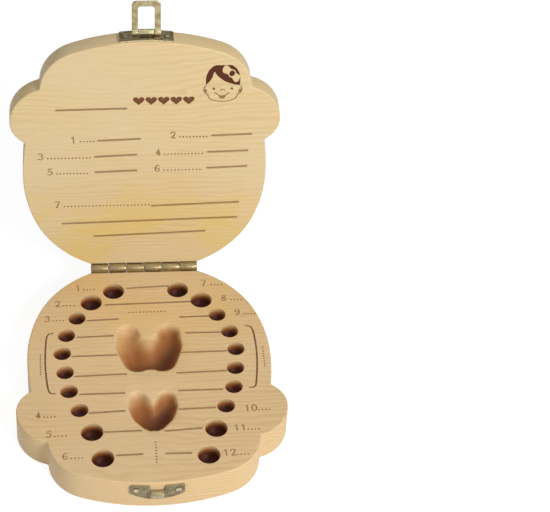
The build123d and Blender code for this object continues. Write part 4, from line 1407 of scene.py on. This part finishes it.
# %% Pieces, bodies and the solids they replace
for piece, body, node, slot in ((base_wood_piece, "base", "base_block", "base_wood"),
                                (lid_wood_piece, "lid", "lid_panel", "lid_wood"),
                                (hinge_pin_piece, "base", "hinge_pin", "hinge_steel"),
                                (latch_plate_piece, "lid", "latch_plate", "clasp_bronze"),
                                (latch_pin_piece, "lid", "latch_pin", "clasp_bronze"),
                                (latch_loop_piece, "latch", "latch_loop", "clasp_bronze"),
                                (catch_plate_piece, "base", "catch_plate", "clasp_bronze")):
    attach(piece, body)
    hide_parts(node)

# %% [markdown]
# The studio is a pale table and a white room. The key light stands low at the front right, because in
# the picture the walls that face the viewer are brighter than the faces that look up. Camera rays see a
# table that glows nearly white, which keeps only a soft shadow round the box, and a world that is white.

# %% Table
TABLE_HALF, TABLE_DROP = 3.0, 0.0001
TABLE_GLOW, GLOW_STRENGTH = 0.62, 1.35


def table_material():
    """Nearly white to camera and glossy rays, plain pale to every other ray."""
    n = Nodes("pale table", (0.9, 0.9, 0.9))
    n.shade(Base_Color=(0.86, 0.86, 0.86, 1), Roughness=0.9, Specular_IOR_Level=0.1)
    rays = n.tree.nodes.new("ShaderNodeLightPath")
    seen = n.math("MAXIMUM", rays.outputs["Is Camera Ray"], rays.outputs["Is Glossy Ray"])
    glow = n.tree.nodes.new("ShaderNodeEmission")
    glow.inputs["Strength"].default_value = GLOW_STRENGTH
    mix = n.tree.nodes.new("ShaderNodeMixShader")
    n.tree.links.new(n.math("MULTIPLY", seen, TABLE_GLOW), mix.inputs[0])
    n.tree.links.new(n.shader.outputs[0], mix.inputs[1])
    n.tree.links.new(glow.outputs[0], mix.inputs[2])
    n.tree.links.new(mix.outputs[0], n.tree.nodes["Material Output"].inputs["Surface"])
    return n.material


table_mesh = bpy.data.meshes.new("table")
table_corners = [(x * TABLE_HALF, y * TABLE_HALF, -TABLE_DROP)
                 for x, y in ((-1, -1), (1, -1), (1, 1), (-1, 1))]
table_mesh.from_pydata(table_corners, [], [(0, 1, 2, 3)])
table = bpy.data.objects.new("table", table_mesh)
bpy.context.scene.collection.objects.link(table)
table_mesh.materials.append(table_material())

# %% Room and lamps
BOX_MIDDLE = Vector((0, 0.03, 0.06))


def lamp(name, place, size, power, tint=(1, 1, 1)):
    """A square soft light that looks at the middle of the open box."""
    light = bpy.data.lights.new(name, "AREA")
    light.energy, light.size, light.color = power, size, tint
    stand = bpy.data.objects.new(name, light)
    stand.location = place
    stand.rotation_euler = (BOX_MIDDLE - Vector(place)).to_track_quat("-Z", "Y").to_euler()
    bpy.context.scene.collection.objects.link(stand)


lamp("key", (0.74, -0.98, 0.86), 0.50, 16.4, (1.0, 0.98, 0.95))
lamp("fill", (-1.0, -0.8, 0.6), 0.9, 2.4, (0.97, 0.98, 1.0))
lamp("top", (0.1, 0.2, 1.4), 0.8, 3.2)

room = bpy.data.worlds.new("white room")
bpy.context.scene.world = room
room.use_nodes = True
sky = room.node_tree.nodes
plain, white = sky["Background"], sky.new("ShaderNodeBackground")
plain.inputs["Color"].default_value = (0.96, 0.98, 1.0, 1)
plain.inputs["Strength"].default_value = 0.26
white.inputs["Color"].default_value = (1, 1, 1, 1)
white.inputs["Strength"].default_value = 1.0
ray, pick = sky.new("ShaderNodeLightPath"), sky.new("ShaderNodeMixShader")
room.node_tree.links.new(ray.outputs["Is Camera Ray"], pick.inputs[0])
room.node_tree.links.new(plain.outputs[0], pick.inputs[1])
room.node_tree.links.new(white.outputs[0], pick.inputs[2])
room.node_tree.links.new(pick.outputs[0], sky["World Output"].inputs["Surface"])
bpy.context.scene.view_settings.view_transform = "Standard"

# %% [markdown]
# The camera was worked out from the picture: a long lens looks down at about 45 degrees, a little from
# the left, and leans a few degrees, so the box stands slightly askew in the left half of the frame.

# %% Camera
LENS, SENSOR = 132.02, 36.0
ELEVATION, YAW, ROLL = 44.6, 8.44, 4.59
TO_CENTER = Vector((-0.0567, 0.0533, 0.9200))
look = Matrix.Rotation(radians(ROLL), 3, "Z") @ Matrix.Rotation(radians(90 + ELEVATION), 3, "X")
look = look @ Matrix.Rotation(radians(YAW), 3, "Z")
eye = bpy.data.cameras.new("camera")
eye.lens, eye.sensor_width = LENS, SENSOR
camera = bpy.data.objects.new("camera", eye)
facing = look.transposed() @ Matrix.Diagonal((1, -1, -1))
place = Vector((0, 0, BASE_TOP * MM)) - look.transposed() @ TO_CENTER
camera.matrix_world = Matrix.Translation(place) @ facing.to_4x4()
bpy.context.scene.collection.objects.link(camera)
bpy.context.scene.camera = camera
print("camera at", [round(c, 3) for c in camera.location])
